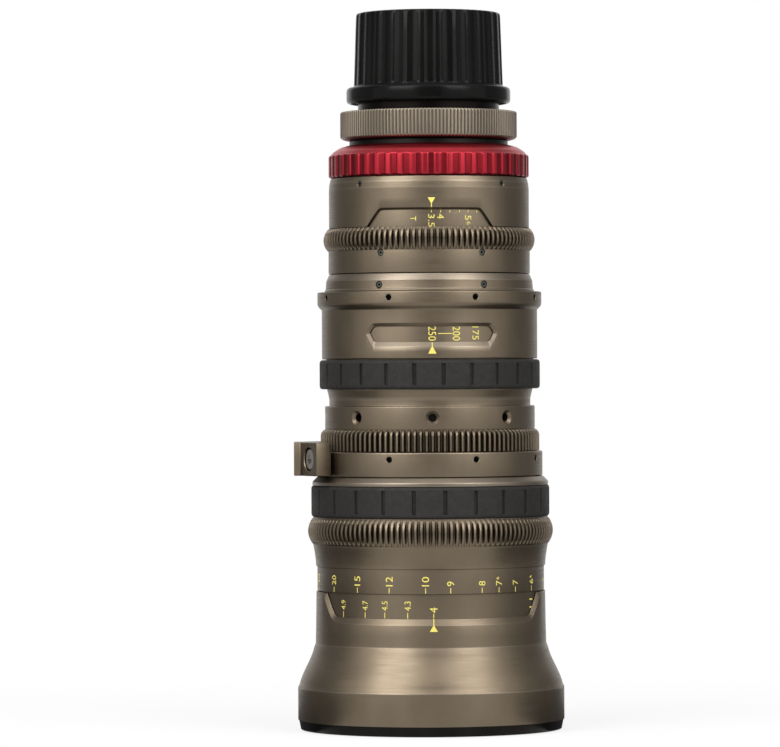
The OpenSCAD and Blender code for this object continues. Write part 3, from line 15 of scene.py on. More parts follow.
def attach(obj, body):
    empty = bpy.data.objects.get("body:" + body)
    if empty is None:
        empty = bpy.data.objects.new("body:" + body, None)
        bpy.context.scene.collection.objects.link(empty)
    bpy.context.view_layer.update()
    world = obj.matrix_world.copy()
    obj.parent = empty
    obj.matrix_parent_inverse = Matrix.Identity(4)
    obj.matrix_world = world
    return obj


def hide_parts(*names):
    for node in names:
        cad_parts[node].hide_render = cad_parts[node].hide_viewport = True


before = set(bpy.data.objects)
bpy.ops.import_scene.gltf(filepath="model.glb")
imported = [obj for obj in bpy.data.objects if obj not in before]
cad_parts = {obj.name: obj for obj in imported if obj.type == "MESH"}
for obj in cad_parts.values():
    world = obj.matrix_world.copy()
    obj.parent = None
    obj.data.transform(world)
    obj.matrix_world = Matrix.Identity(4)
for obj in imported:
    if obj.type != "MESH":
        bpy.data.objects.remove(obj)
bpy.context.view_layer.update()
MM = 0.001
TURN = 2 * math.pi


def linked(name, data):
    """A new object in the scene."""
    item = bpy.data.objects.new(name, data)
    bpy.context.collection.objects.link(item)
    return item


def baked(item, *spent):
    """The mesh of an object with its modifiers applied; it and the spent ones go."""
    graph = bpy.context.evaluated_depsgraph_get()
    mesh = bpy.data.meshes.new_from_object(item.evaluated_get(graph))
    for used in (item, *spent):
        bpy.data.objects.remove(used)
    return mesh

# %% [markdown]
# ## The camera
# The photograph was taken from far away with a long lens, level with the middle of the object
# and a little to the left of its index marks.

# %% Camera
CAMERA_TURN, CAMERA_ROLL = math.radians(-1.0), math.radians(-0.28)
CAMERA_DISTANCE, CAMERA_HEIGHT, CAMERA_ASIDE = 2.22, 0.15205, -0.0170
camera_data = bpy.data.cameras.new("camera")
camera_data.lens, camera_data.sensor_width = 239.2, 36
camera = linked("camera", camera_data)
right = np.array([math.cos(CAMERA_TURN), math.sin(CAMERA_TURN), 0])
back = np.array([math.sin(CAMERA_TURN), -math.cos(CAMERA_TURN), 0])
place = back * CAMERA_DISTANCE + right * CAMERA_ASIDE + [0, 0, CAMERA_HEIGHT]
camera.matrix_world = (Matrix.Translation(place) @ Matrix.Rotation(CAMERA_TURN, 4, "Z")
                       @ Matrix.Rotation(math.radians(90), 4, "X")
                       @ Matrix.Rotation(CAMERA_ROLL, 4, "Z"))
bpy.context.scene.camera = camera
print("camera at", np.round(place, 3))

# %% [markdown]
# ## Angles round the axis
# Angles count from -Y, the side of the index marks. What repeats in equal pitches, such as
# teeth, is written once for the share of a pitch, -0.5 to 0.5.

# %% Angles
def angles(count=576, dense=()):
    """Even angles, with more of them round each (middle, half width, number)."""
    turn = [np.linspace(0, 360, count, endpoint=False)]
    turn += [np.linspace(m - h, m + h, n) % 360 for m, h, n in dense]
    return np.radians(np.unique(np.round(np.concatenate(turn), 4)))


def every(step, first=0):
    """Degrees from the first up to the full turn."""
    return np.arange(first, 360, step)


def off_middle(angle, middle=0.0):
    """How far an angle lies from the middle one, to either side."""
    return np.abs((angle - middle + math.pi) % TURN - math.pi)


def pitch_share(angle, count):
    """Where an angle lies in its pitch, with count pitches to the turn."""
    return (angle * count / TURN + 0.5) % 1 - 0.5


def pitch_angles(count, shares):
    """The angles at the same shares of every pitch."""
    return TURN * ((np.arange(count)[:, None] + shares) / count).ravel()


def pitch_profile(half):
    """Shares of a pitch and the values there, from those of its right half."""
    half = np.array(half, float)
    return np.r_[half[:0:-1] * [-1, 1], half].T

# %% [markdown]
# ## From arrays to a mesh
# Every turned surface is a grid of points. Points that fall together are merged, which closes
# seams and poles, and two faces on the same points are an inner wall, so both go. A closed
# surface has a volume, and its sign tells whether the faces point outwards.

# %% Grid helpers
def faces_of_grid(rows, columns, first=0):
    """Quads of a grid that wraps both ways."""
    index = np.arange(rows * columns).reshape(rows, columns) + first
    ahead = np.roll(index, -1, 1)
    around = [index, ahead, np.roll(ahead, -1, 0), np.roll(index, -1, 0)]
    return np.stack(around, -1).reshape(-1, 4)


def make_mesh(name, points, faces, **values):
    """Merges equal points, drops spent and doubled faces and turns the rest outwards. Further
    values are attributes of the points: edge is 1 on a broken edge, groove is 1 at the bottom of
    a groove."""
    key = np.round(points / 2e-7).astype(np.int64)
    _, kept, link = np.unique(key, axis=0, return_index=True, return_inverse=True)
    points, faces = points[kept], link.reshape(-1)[faces]
    same = faces == np.roll(faces, -1, 1)
    quads = faces[same.sum(1) == 0]
    part = np.flatnonzero(same.sum(1) == 1)
    start = same[part].argmax(1)
    tris = faces[part[:, None], (start[:, None] + [1, 2, 3]) % 4]
    tris = tris[(tris != np.roll(tris, -1, 1)).all(1)]
    quads = quads[(quads[:, 0] != quads[:, 2]) & (quads[:, 1] != quads[:, 3])]
    quads, tris = single(quads), single(tris)
    corners = np.concatenate([tris, quads[:, :3], quads[:, [0, 2, 3]]])
    a, b, c = (points[corners[:, k]] for k in range(3))
    if np.einsum("ij,ij->i", a, np.cross(b, c)).sum() < 0:
        quads, tris = quads[:, ::-1], tris[:, ::-1]
    mesh = bpy.data.meshes.new(name)
    mesh.vertices.add(len(points))
    mesh.vertices.foreach_set("co", points.astype(np.float32).ravel())
    loops = np.concatenate([quads.ravel(), tris.ravel()])
    mesh.loops.add(len(loops))
    mesh.loops.foreach_set("vertex_index", loops.astype(np.int32))
    mesh.polygons.add(len(quads) + len(tris))
    starts = np.r_[np.arange(len(quads)) * 4, quads.size + np.arange(len(tris)) * 3]
    mesh.polygons.foreach_set("loop_start", starts.astype(np.int32))
    for label, value in values.items():
        layer = mesh.attributes.new(label, "FLOAT", "POINT")
        layer.data.foreach_set("value", value[kept].astype(np.float32))
    mesh.update(calc_edges=True)
    mesh.validate()
    return mesh


def single(faces):
    """The faces whose set of points occurs once."""
    if not len(faces):
        return faces
    _, link, count = np.unique(np.sort(faces, 1), axis=0, return_inverse=True, return_counts=True)
    return faces[count[link.reshape(-1)] == 1]


def smooth(mesh):
    """Smooth shading, broken where two faces meet at more than 32 degrees."""
    mesh.shade_smooth()
    mesh.set_sharp_from_angle(angle=math.radians(32))

# %% [markdown]
# ## Dressing a piece
# A finished piece sits at the origin with its place in its mesh, rides on a CAD body, and
# stands for the CAD node that it replaces.

# %% Putting a piece on its body
made = {}


def dress(name, mesh, body, slot, node=None, finish=None):
    """A new object on a body, in its slot's finish unless another is given."""
    piece = linked(name, mesh)
    mesh.materials.clear()
    mesh.materials.append(finish or FINISH[slot])
    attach(piece, body)
    if node:
        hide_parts(node)
    made[name] = sum(len(p.vertices) - 2 for p in mesh.polygons)
    print(f"{name}: {len(mesh.vertices)} points, {made[name]} triangles")

# %% [markdown]
# ## Outlines and turned shapes
# An outline is a list of corners: radius, height and, where the edge is broken, how far the
# corner is cut back. Broken edges catch the light, so the rounding matters more than its size
# suggests.

# %% Outlines
ROUND_STEPS = 5


def outline(corners):
    """Rounds each corner (r, z, cut) by the parabola (1-t)^2 a + 2t(1-t) corner + t^2 b. The
    third column of the result tells how near the corner's middle a point is."""
    corner = np.array([(*c, 0)[:3] for c in corners], float)
    at, cut_back = corner[:, :2], corner[:, 2:3]
    before, after = np.roll(at, 1, 0) - at, np.roll(at, -1, 0) - at
    before /= np.maximum(np.linalg.norm(before, axis=1, keepdims=True), 1e-9)
    after /= np.maximum(np.linalg.norm(after, axis=1, keepdims=True), 1e-9)
    t = np.linspace(0, 1, ROUND_STEPS)[None, :, None]
    a, b = (at + before * cut_back)[:, None], (at + after * cut_back)[:, None]
    curve = (1 - t) ** 2 * a + 2 * t * (1 - t) * at[:, None] + t ** 2 * b
    near = np.broadcast_to(4 * t * (1 - t) * (cut_back[:, None] > 0), curve.shape[:2] + (1,))
    rows = np.concatenate([curve, near], 2).reshape(-1, 3)
    step = np.linalg.norm(rows[:, :2] - np.roll(rows[:, :2], 1, 0), axis=1)
    return rows[step > 1e-6]


def swept(radius, height, angle):
    """Points (r sin a, -r cos a, z) in metres."""
    radius, height, angle = np.broadcast_arrays(radius, height, angle)
    return np.stack([radius * np.sin(angle), -radius * np.cos(angle), height], -1) * MM


def turned(name, corners, angle=None, shape=None):
    """A solid of revolution. shape(r, z, angle) changes radius and height, as whole arrays; what
    it takes off, as a share of the deepest, is the groove value."""
    rows = outline(corners)
    angle = angles() if angle is None else angle
    full = r = np.repeat(rows[:, :1], len(angle), 1)
    z = np.repeat(rows[:, 1:2], len(angle), 1)
    if shape:
        r, z = shape(r, z, angle[None, :])
    points = swept(r, z, angle[None, :]).reshape(-1, 3)
    taken = (full - r) / max((full - r).max(), 0.3)
    mesh = make_mesh(name, points, faces_of_grid(len(rows), len(angle)),
                     edge=np.repeat(rows[:, 2], len(angle)), groove=taken.ravel())
    smooth(mesh)
    return mesh

# %% [markdown]
# ## Cutting holes
# Screw holes are drilled after turning, so they are cut here the same way, by round cutters
# along radial lines that widen where they leave the metal.

# %% Drills and cuts
def drills(holes):
    """Cutters for radial holes (angle in degrees, height, [(distance from the axis, radius),
    ...])."""
    points, faces, first = [], [], 0
    b = np.linspace(0, TURN, 40, endpoint=False)
    for angle, height, stations in holes:
        d, radius = np.array(stations, float).T
        d, radius = np.r_[d[0], d, d[-1]], np.r_[0, radius, 0]
        u, v = radius[:, None] * np.cos(b), radius[:, None] * np.sin(b)
        a = math.radians(angle)
        x = d[:, None] * math.sin(a) + u * math.cos(a)
        y = -d[:, None] * math.cos(a) + u * math.sin(a)
        points.append(np.stack([x, y, height + v], -1).reshape(-1, 3) * MM)
        faces.append(faces_of_grid(len(d), len(b), first))
        first += len(points[-1])
    return make_mesh("drills", np.concatenate(points), np.concatenate(faces))


def cut(mesh, holes):
    """The mesh with holes drilled in it."""
    body, tool = linked("cut_body", mesh), linked("cut_tool", drills(holes))
    boolean = body.modifiers.new("holes", "BOOLEAN")
    boolean.object, boolean.solver = tool, "MANIFOLD"
    result = baked(body, tool)
    smooth(result)
    print("cut", len(mesh.polygons), "->", len(result.polygons), "faces")
    return result


def bores(turns, height, stations):
    """The same hole at each angle."""
    return [(a, height, stations) for a in turns]


def plain_bore(face, radius=1.25, deep=4):
    """Stations of a straight hole with a slightly broken edge."""
    return [(face - deep, radius), (face - 0.18, radius), (face + 0.32, radius + 0.5)]


def lathe(name, corners, body, node=None, slot="bronze_anodised", finish=None,
          angle=None, shape=None, holes=()):
    """A piece that is turned, drilled where it has holes, and dressed."""
    mesh = turned(name, corners, angle, shape)
    if holes:
        mesh = cut(mesh, holes)
    dress(name, mesh, body, slot, node, finish)

# %% [markdown]
# ## Finishes
# The housings are bead-blasted aluminium, anodised a warm bronze: a soft sheen, a fine even
# grain and faint turning lines. Each broken edge is paler, partly from wear and partly as
# painted highlight, and the bottoms of teeth and knurls are darker as painted shade. Patterns
# read Object coordinates in metres, so a grain of 0.1 mm has a scale near ten thousand.

# %% Shader helpers
def shader(name):
    """A new material and its tree, which holds a Principled shader."""
    material = bpy.data.materials.new(name)
    material.use_nodes = True
    return material, material.node_tree


def feed(tree, item, inputs):
    """Links a node's inputs to sockets, or gives them values; a tuple is a colour."""
    for key, value in inputs.items():
        if isinstance(value, bpy.types.NodeSocket):
            tree.links.new(value, item.inputs[key])
        else:
            item.inputs[key].default_value = (*value, 1) if isinstance(value, tuple) else value


def added(tree, kind, inputs=(), **settings):
    """A new node with its settings, and its inputs fed."""
    item = tree.nodes.new("ShaderNode" + kind)
    for name, value in settings.items():
        setattr(item, name, value)
    feed(tree, item, dict(inputs))
    return item


def surface(tree, inputs, *layers):
    """Feeds the Principled shader, and gives it bump layers (source, depth, strength), each on
    the last."""
    principled, normal = tree.nodes["Principled BSDF"], None
    feed(tree, principled, inputs)
    for source, depth, strength in layers:
        bump = added(tree, "Bump", {"Distance": depth, "Strength": strength, "Height": source})
        if normal:
            tree.links.new(normal, bump.inputs["Normal"])
        normal = bump.outputs["Normal"]
    if normal:
        tree.links.new(normal, principled.inputs["Normal"])


def object_place(tree):
    """The Object coordinates."""
    return added(tree, "TexCoord").outputs["Object"]


def grain(tree, scale, stretch=(1, 1, 1), detail=2.0):
    """Noise on Object coordinates, stretched along the axes."""
    mapped = added(tree, "Mapping", {"Vector": object_place(tree),
                                     "Scale": [scale * s for s in stretch]})
    noise = {"Vector": mapped.outputs["Vector"], "Scale": 1, "Detail": detail}
    return added(tree, "TexNoise", noise).outputs["Fac"]


def spread(tree, source, low, high, start=0.3, stop=0.7):
    """Maps a value from start..stop to low..high."""
    span = {"From Min": start, "From Max": stop, "To Min": low, "To Max": high}
    return added(tree, "MapRange", {"Value": source, **span}).outputs["Result"]


def two_colours(tree, share, first, second):
    """Mixes two colours; each may be a colour or a socket."""
    return added(tree, "Mix", {"Factor": share, 6: first, 7: second}, data_type="RGBA").outputs[2]


def stored(tree, label):
    """A value stored on the mesh's points: edge or groove."""
    return added(tree, "Attribute", attribute_name=label).outputs["Fac"]


def height_share(tree, low, high):
    """0 below one height and 1 above another, in metres."""
    split = added(tree, "SeparateXYZ", {0: object_place(tree)})
    return spread(tree, split.outputs["Z"], 0, 1, low, high)

# %% Anodised aluminium
def anodised(name, deep, pale, edge, roughness, groove_shade=0.12):
    """Two close tones in slow patches, a paler edge that is partly wear and partly painted
    highlight, grain and turning lines. The last argument is the share of the colour left at
    the bottom of a groove, as painted shade."""
    material, tree = shader(name)
    patches = spread(tree, grain(tree, 90, (1, 1, 0.5), 4), 0, 1)
    # The paler edge colour is partly wear and partly painted highlight along every rounded corner.
    wear = spread(tree, stored(tree, "edge"), 0, 0.3, 0.2, 1)
    # Painted shade: at the bottom of a groove only a share of the colour is left.
    painted_groove_shade = spread(tree, stored(tree, "groove"), 0, 0.8, 0.15, 1)
    unshaded = two_colours(tree, wear, two_colours(tree, patches, deep, pale), edge)
    lines = grain(tree, 1, (60, 60, 2600), 3)
    surface(tree, {"Metallic": 1,
                   "Base Color": two_colours(tree, painted_groove_shade, unshaded, tuple(groove_shade * v for v in deep)),
                   "Roughness": spread(tree, lines, roughness - 0.05, roughness + 0.05)},
            (lines, 0.00001, 0.25), (grain(tree, 7000, detail=1), 0.000012, 0.5))
    return material


# Painted highlight: a lighter copy of the bronze for the focus lip, the rear collar's bevel and
# the knurled ring.
painted_highlight_bronze = anodised("bronze_painted_highlight", (0.200, 0.166, 0.128), (0.225, 0.188, 0.146),
                         (0.34, 0.30, 0.245), 0.40, 0.4)
FINISH = {
    "bronze_anodised": anodised("bronze_anodised", (0.157, 0.125, 0.088), (0.180, 0.144, 0.102),
                                (0.30, 0.26, 0.205), 0.40),
    "black_anodised": anodised("black_anodised", (0.012, 0.011, 0.010), (0.017, 0.016, 0.015),
                               (0.04, 0.038, 0.035), 0.42),
    "red_anodised": anodised("red_anodised", (0.33, 0.020, 0.031), (0.40, 0.026, 0.038),
                             (0.55, 0.09, 0.11), 0.36, 0.45)}

# %% [markdown]
# The grips are a matt rubber with a fine stipple and a trace of dust, their notches darkened
# with painted shade; the cap is a glossy plastic with small scratches from being put on and
# taken off.

# %% Rubber and plastic
def grip_rubber():
    material, tree = shader("grip_rubber")
    dust = spread(tree, grain(tree, 900, detail=5), 0, 1, 0.55, 0.8)
    skin = two_colours(tree, dust, (0.0110, 0.0100, 0.0088), (0.024, 0.0223, 0.0202))
    # Painted shade: the notches darken towards near black with their depth.
    painted_notch_shade = spread(tree, stored(tree, "groove"), 0, 1, 0.2, 0.9)
    surface(tree, {"Base Color": two_colours(tree, painted_notch_shade, skin, (0.004, 0.0037, 0.0034)),
                   "Specular IOR Level": 0.35,
                   "Roughness": spread(tree, grain(tree, 300), 0.62, 0.78)},
            (grain(tree, 2600, detail=2), 0.00005, 0.5))
    return material


def cap_plastic():
    material, tree = shader("cap_plastic")
    tone = spread(tree, grain(tree, 60, detail=3), 0, 1)
    black = two_colours(tree, tone, (0.0026, 0.0024, 0.0023), (0.0048, 0.0044, 0.0041))
    scratches = grain(tree, 1, (2400, 2400, 240), 4)
    surface(tree, {"Base Color": black, "Specular IOR Level": 0.10,
                   "Roughness": spread(tree, scratches, 0.17, 0.30, 0.45, 0.75)},
            (grain(tree, 220, detail=2), 0.00008, 0.18))
    return material


FINISH.update(grip_rubber=grip_rubber(), cap_plastic=cap_plastic())

# %% [markdown]
# The screws and mount are steel, the sleeves and pins brass, and the glasses coated: a clear
# body with a tinted reflection. The numbers are filled with yellow paint.

# %% Steel, brass, glass and paint
def bare_metal(name, first, second, smoothest, roughest, lines=1400, split=None):
    """Turned metal in two tones: in fine patches, or one below and one above a height."""
    material, tree = shader(name)
    tone = height_share(tree, *split) if split else spread(tree, grain(tree, 500, detail=4), 0, 1)
    turning = grain(tree, 1, (50, 50, lines), 3)
    surface(tree, {"Metallic": 1, "Base Color": two_colours(tree, tone, first, second),
                   "Roughness": spread(tree, turning, smoothest, roughest)},
            (turning, 0.00001, 0.3))
    return material


def sunk_screws():
    """The screws below the rear collar sit deep in their holes, painted near black as painted
    shade; those above show their sockets.
    """
    material, tree = shader("sunk_screws")
    level = height_share(tree, 0.1868, 0.1870)
    # Near black below the collar is painted shade for the deep holes; the grey above is the
    # screws' own steel.
    black, grey = (0.004, 0.004, 0.0038), (0.075, 0.078, 0.07)
    surface(tree, {"Metallic": 1, "Roughness": 0.4,
                   "Base Color": two_colours(tree, level, black, grey)},
            (grain(tree, 3000, detail=2), 0.00002, 0.4))
    return material


def lens_glass():
    material, tree = shader("lens_glass")
    surface(tree, {"Base Color": (0.95, 0.98, 1.0), "Transmission Weight": 1, "IOR": 1.52,
                   "Specular Tint": (0.55, 0.75, 1.0),
                   "Roughness": spread(tree, grain(tree, 70, detail=3), 0.0, 0.02, 0.5, 0.8)})
    return material


def scale_yellow():
    material, tree = shader("scale_yellow")
    wear = spread(tree, grain(tree, 1500, detail=4), 0, 1, 0.5, 0.85)
    yellow = two_colours(tree, wear, (0.70, 0.60, 0.12), (0.50, 0.42, 0.10))
    surface(tree, {"Base Color": yellow, "Roughness": 0.5},
            (grain(tree, 5000, detail=1), 0.00001, 0.4))
    return material


for slot, *look in (
        ("steel", (0.42, 0.41, 0.39), (0.56, 0.55, 0.52), 0.22, 0.36),
        ("black_screw", (0.035, 0.034, 0.033), (0.075, 0.073, 0.07), 0.28, 0.42),
        ("brass", (0.45, 0.31, 0.11), (0.58, 0.41, 0.16), 0.24, 0.38),
        ("blade_steel", (0.030, 0.030, 0.032), (0.05, 0.05, 0.053), 0.34, 0.48)):
    FINISH[slot] = bare_metal(slot, *look)
FINISH["lens_glass"] = lens_glass()
# The mount's neck is near black, partly its own dark finish and partly painted shade under
# the cap's lip; above it is a turned steel flange.
mount_metal = bare_metal("mount_metal", (0.012, 0.010, 0.009), (0.5, 0.49, 0.46), 0.24, 0.36,
                         1800, (0.2680, 0.2682))
yellow_paint = scale_yellow()

# %% [markdown]
# ## What stays from the CAD
# The pieces inside the lens have the right shapes already, so they keep their CAD meshes and
# only get their finishes.

# %% Finishes for the carried-over nodes
SPECIAL = dict.fromkeys(("housing_screws", "iris_ring_screws", "iris_keys"), sunk_screws())
for name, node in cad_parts.items():
    slot = node.data.materials[0].name.split(".")[0] if node.data.materials else ""
    finish = SPECIAL.get(name) or FINISH.get(slot, FINISH["black_anodised"])
    if not node.material_slots:
        node.data.materials.append(finish)
    for entry in node.material_slots:
        entry.material = finish
    print("node", name, "->", finish.name)

# %% [markdown]
# ## Front ring and bell
# The lens stands on a thin black ring. The bell above it has a straight band for clamp-on
# accessories, a flare and a collar over the lower focus scale. The collar's wide window is
# open at the top and has leaning ends, so its edge is a height for each angle.

# %% Front ring
FRONT_RING = [[50, 0, 0.2], [55.8, 0, 0.35], [56.6, 4.0, 0.12], [56.6, 4.2],
              [48.5, 4.2], [48.5, 1.5, 0.15]]
lathe("front_ring_black", FRONT_RING, "barrel", "front_ring", "black_anodised")

# %% Bell
def soft_max(a, b, blend):
    """The larger of two values with a rounded corner: (a + b + sqrt((a-b)^2 + blend^2)) / 2."""
    return (a + b + np.sqrt((a - b) ** 2 + blend ** 2)) / 2


def leaning(off, lean, radius, middle):
    """Height of a window's leaning end, off radians away from where it is at middle height."""
    return middle + radius * np.sin(np.clip(off, -1.2, 1.2)) / math.tan(math.radians(lean))


BELL_TOP, COLLAR_Z = 59.1, 38.4
COLLAR_IN, COLLAR_RIM, COLLAR_OUT = 47.6, 48.95, 49.15
SILL_IN, SILL_OUT, BLEND_IN, BLEND_OUT = 48.9, 46.15, 2.4, 4.2
WINDOW_HALF_IN, WINDOW_HALF_OUT, WINDOW_LEAN, WINDOW_Z = 64.4, 67.2, 37, 54.15
t = np.linspace(0, 1, 15)[1:-1]
ease = t + ((1 - np.cos(np.pi * t)) / 2 - t) * 0.6
FLARE = [[56.55 + (49.8 - 56.55) * e, 18 + 18.4 * s] for e, s in zip(ease, t)]
BELL = [[54, 4.2], [57, 4.2, 0.15], [57, 18, 0.45]] + FLARE + [
    [49.35, 36.8, 0.4], [COLLAR_OUT, 46], [COLLAR_RIM, BELL_TOP, 0.15],
    [COLLAR_IN, BELL_TOP, 0.1], [COLLAR_IN, 30], [44.45, 30], [44.45, 26],
    [49.45, 26], [49.45, 18], [54, 18]]


def bell_window(r, z, angle):
    """Scales the height above the collar's foot down to the window's edge at that angle."""
    ends = [leaning(off_middle(angle) - math.radians(half), WINDOW_LEAN, radius, WINDOW_Z)
            for half, radius in ((WINDOW_HALF_IN, COLLAR_IN), (WINDOW_HALF_OUT, COLLAR_OUT))]
    inner = soft_max(SILL_IN, ends[0], BLEND_IN)
    outer = soft_max(SILL_OUT, ends[1], BLEND_OUT)
    share = np.clip((r - COLLAR_IN) / (COLLAR_RIM - COLLAR_IN), 0, 1)
    top = np.minimum(inner + (outer - inner) * share, BELL_TOP)
    scaled = COLLAR_Z + (z - COLLAR_Z) * (top - COLLAR_Z) / (BELL_TOP - COLLAR_Z)
    return r, np.where((z > COLLAR_Z) & (r < 50), scaled, z)


lathe("bell", BELL, "barrel", "front_bell", shape=bell_window,
      angle=angles(576, [(65, 9, 72), (-65, 9, 72)]))

# %% [markdown]
# ## Gears
# Three toothed bands of 0.8 mm module let a follow-focus motor drive the rings. A tooth is a
# root, a leaning flank, a softened corner and a flat tip. The bands are crowned: the radius
# is the smaller of the tooth and the crown, so the teeth run out at both ends.

# %% Teeth
TOOTH_DEPTH = 1.8
TOOTH = pitch_profile([(0, 1), (0.07, 1), (0.12, 1), (0.155, 0.94), (0.19, 0.8), (0.29, 0.2),
                       (0.33, 0.04), (0.36, 0), (0.5, 0)])


def toothed(root, tip, count, inner, profile):
    """shape(): radius = min(outline, root + (tip - root) profile), outside the inner radius."""
    def shape(r, z, angle):
        face = root + (tip - root) * np.interp(pitch_share(angle, count), *profile)
        return np.where(r > inner, np.minimum(r, face), r), z
    return shape


def gear(name, body, teeth, tip, inner, corners):
    """A toothed band with one tooth facing -Y."""
    lathe(name, corners, body, angle=pitch_angles(teeth, TOOTH[0, :-1]),
          shape=toothed(tip - TOOTH_DEPTH, tip, teeth, inner, TOOTH))


def crowned(tip, low, high, crown):
    """Corners of an arc of the crown's radius that peaks at the tip half way up."""
    return [[tip - crown + math.sqrt(crown * crown - x * x), (low + high) / 2 + x]
            for x in np.linspace(-0.5, 0.5, 15) * (high - low)]

# %% Focus ring
SHOULDER = [[49.05 + 1.15 * v ** 1.5, 70.2 + 8.7 * v] for v in np.linspace(0, 1, 12)]
FOCUS_BODY = [
    [46.05, 45.1], [47.3, 45.1], [47.3, 59.15], [46.9, 59.2], [46.9, 59.5],
    [48.5, 59.5, 0.1], [48.5, 69.65], [48.0, 69.7], [48.0, 70], [49.05, 70]
] + SHOULDER + [[50.2, 90.9], [49.15, 90.9], [49.15, 104.4], [46.05, 104.4]]
lathe("focus_body", FOCUS_BODY, "focus_ring", "focus_ring")
gear("focus_gear", "focus_ring", 129, 52.4, 49,
     [[48.6, 78.9]] + crowned(52.4, 78.9, 90.9, 8.7) + [[48.6, 90.9]])
LIP = [[46.1, 104.4], [50.45, 104.4, 0.2], [50.45, 105.9, 0.35], [48.25, 108.1, 0.3],
       [46.1, 108.1]]
# The lip wears the lighter bronze copy as painted highlight.
lathe("focus_lip", LIP, "focus_ring", "focus_lip_ring", finish=painted_highlight_bronze)

# %% [markdown]
# ## Rubber grips
# Each grip is a moulded band with 24 narrow notches that stop short of its rims: a
# steep-sided trough across the angle, times another along the height.

# %% Grips
NOTCHES, NOTCH_TURN = 24, math.radians(5.7)
NOTCH_WIDTH, NOTCH_DEPTH, GRIP_RIM = 1.3, 0.8, 1.75


def grip(name, body, node, inner, outer, low, high):
    half = NOTCH_WIDTH / 2 / outer * NOTCHES / TURN
    walls = half * np.array([0.8, 1, 1.35])
    shares = np.unique(np.r_[np.linspace(-0.5, 0.5, 19)[:-1], -walls, walls])
    foot, head = low + GRIP_RIM, high - GRIP_RIM
    heights = [foot - 0.15, foot, foot + 0.35, head - 0.2, head, head + 0.15]
    corners = [[inner, low, 0.1], [outer, low, 1.5]] + [[outer, v] for v in heights] + [
        [outer, high, 1.5], [inner, high, 0.1]]

    def shape(r, z, angle):
        """Radius less depth times the trough across the angle times that along the height."""
        share = np.abs(pitch_share(angle - NOTCH_TURN, NOTCHES))
        across = np.interp(share, walls, [1, 0.85, 0])
        along = np.interp(z, [foot - 0.15, foot + 0.35, head - 0.2, head + 0.15], [0, 1, 1, 0])
        return np.where(r > inner + 0.4, r - NOTCH_DEPTH * across * along, r), z
    lathe(name, corners, body, node, "grip_rubber", shape=shape,
          angle=pitch_angles(NOTCHES, shares) + NOTCH_TURN)


grip("focus_grip_rubber", "focus_ring", "focus_grip", 49.2, 50.95, 90.9, 104.4)
grip("zoom_grip_rubber", "zoom_ring", "zoom_grip", 44.45, 47.15, 145.4, 157.9)

# %% [markdown]
# ## Centre flange and support bracket
# Between the focus and zoom rings is a fixed flange. A bracket for a lens support is screwed
# to its side: an extruded outline with a flat pad, a leaning screw face on each side of it
# and a round seat.

# %% Centre flange
SCREW_Z = 115.8
FLANGE = [[41.65, 108.4], [48.1, 108.4, 0.3], [48.1, 118.8, 0.7], [41.65, 118.8]]
lathe("centre_flange_ring", FLANGE, "barrel", "centre_flange",
      holes=bores([22.5, 67.5, 112.5, 157.5, 202.5, 337.5], SCREW_Z, plain_bore(48.1)))

# %% Support bracket
def bracket_outline(seat=48.15, face=56.4, half=8.8, pad=58.3, lean=22.5, steps=40):
    """The pad, the two leaning faces and the seat's arc, drawn along -Y and turned to -X."""
    a = math.radians(lean)
    middle = face * np.array([math.sin(a), -math.cos(a)])
    reach = half * np.array([math.cos(a), math.sin(a)])
    inner, outer = middle - reach, middle + reach
    end = math.atan2(outer[0], -outer[1])
    turn = np.linspace(end, -end, steps)
    radius = seat + np.where(np.abs(turn) > math.radians(26), 1.7, 0)
    arc = np.stack([radius * np.sin(turn), -radius * np.cos(turn)], 1)
    side = np.array([[inner[0], -pad], inner, outer])
    flat = np.concatenate([side, arc, side[::-1] * [-1, 1]])
    return np.stack([flat[:, 1], -flat[:, 0]], 1)


def block(name, flat, low, high, round_edges):
    """A counterclockwise outline raised from low to high, its edges softened by a bevel."""
    count = len(flat)
    points = np.concatenate([np.c_[flat, np.full(count, v)] for v in (low, high)]) * MM
    ring = np.arange(count)
    ahead = np.roll(ring, -1)
    sides = np.stack([ring, ahead, ahead + count, ring + count], 1).tolist()
    mesh = bpy.data.meshes.new(name)
    mesh.from_pydata(points.tolist(), [], sides + [ring[::-1].tolist(), (ring + count).tolist()])
    item = linked(name, mesh)
    bevel = item.modifiers.new("broken_edges", "BEVEL")
    bevel.width, bevel.segments = round_edges * MM, 3
    bevel.limit_method, bevel.angle_limit = "ANGLE", math.radians(25)
    return baked(item)


SIDE, FACES = -90, (-112.5, -67.5)
counterbores = bores(FACES, SCREW_Z, [(51.8, 5), (56.1, 5), (56.5, 5.35), (57.5, 6.3)])
pad_bore = bores([SIDE], SCREW_Z, [(50.3, 3.97), (57.9, 3.97), (59, 5)])
saddle = cut(block("bracket", bracket_outline(), 108.7, 122.9, 0.35), counterbores + pad_bore)
saddle = cut(saddle, bores(FACES, SCREW_Z, [(40, 2.1), (52.2, 2.1)]))
dress("bracket", saddle, "barrel", "bronze_anodised", "support_bracket")

# %% [markdown]
# ## Zoom ring
# One turned piece: a gear rounded over at its upper edge, a band with eight countersunk holes
# for a handle, a slim neck, and the drum that carries the grip and the scale.

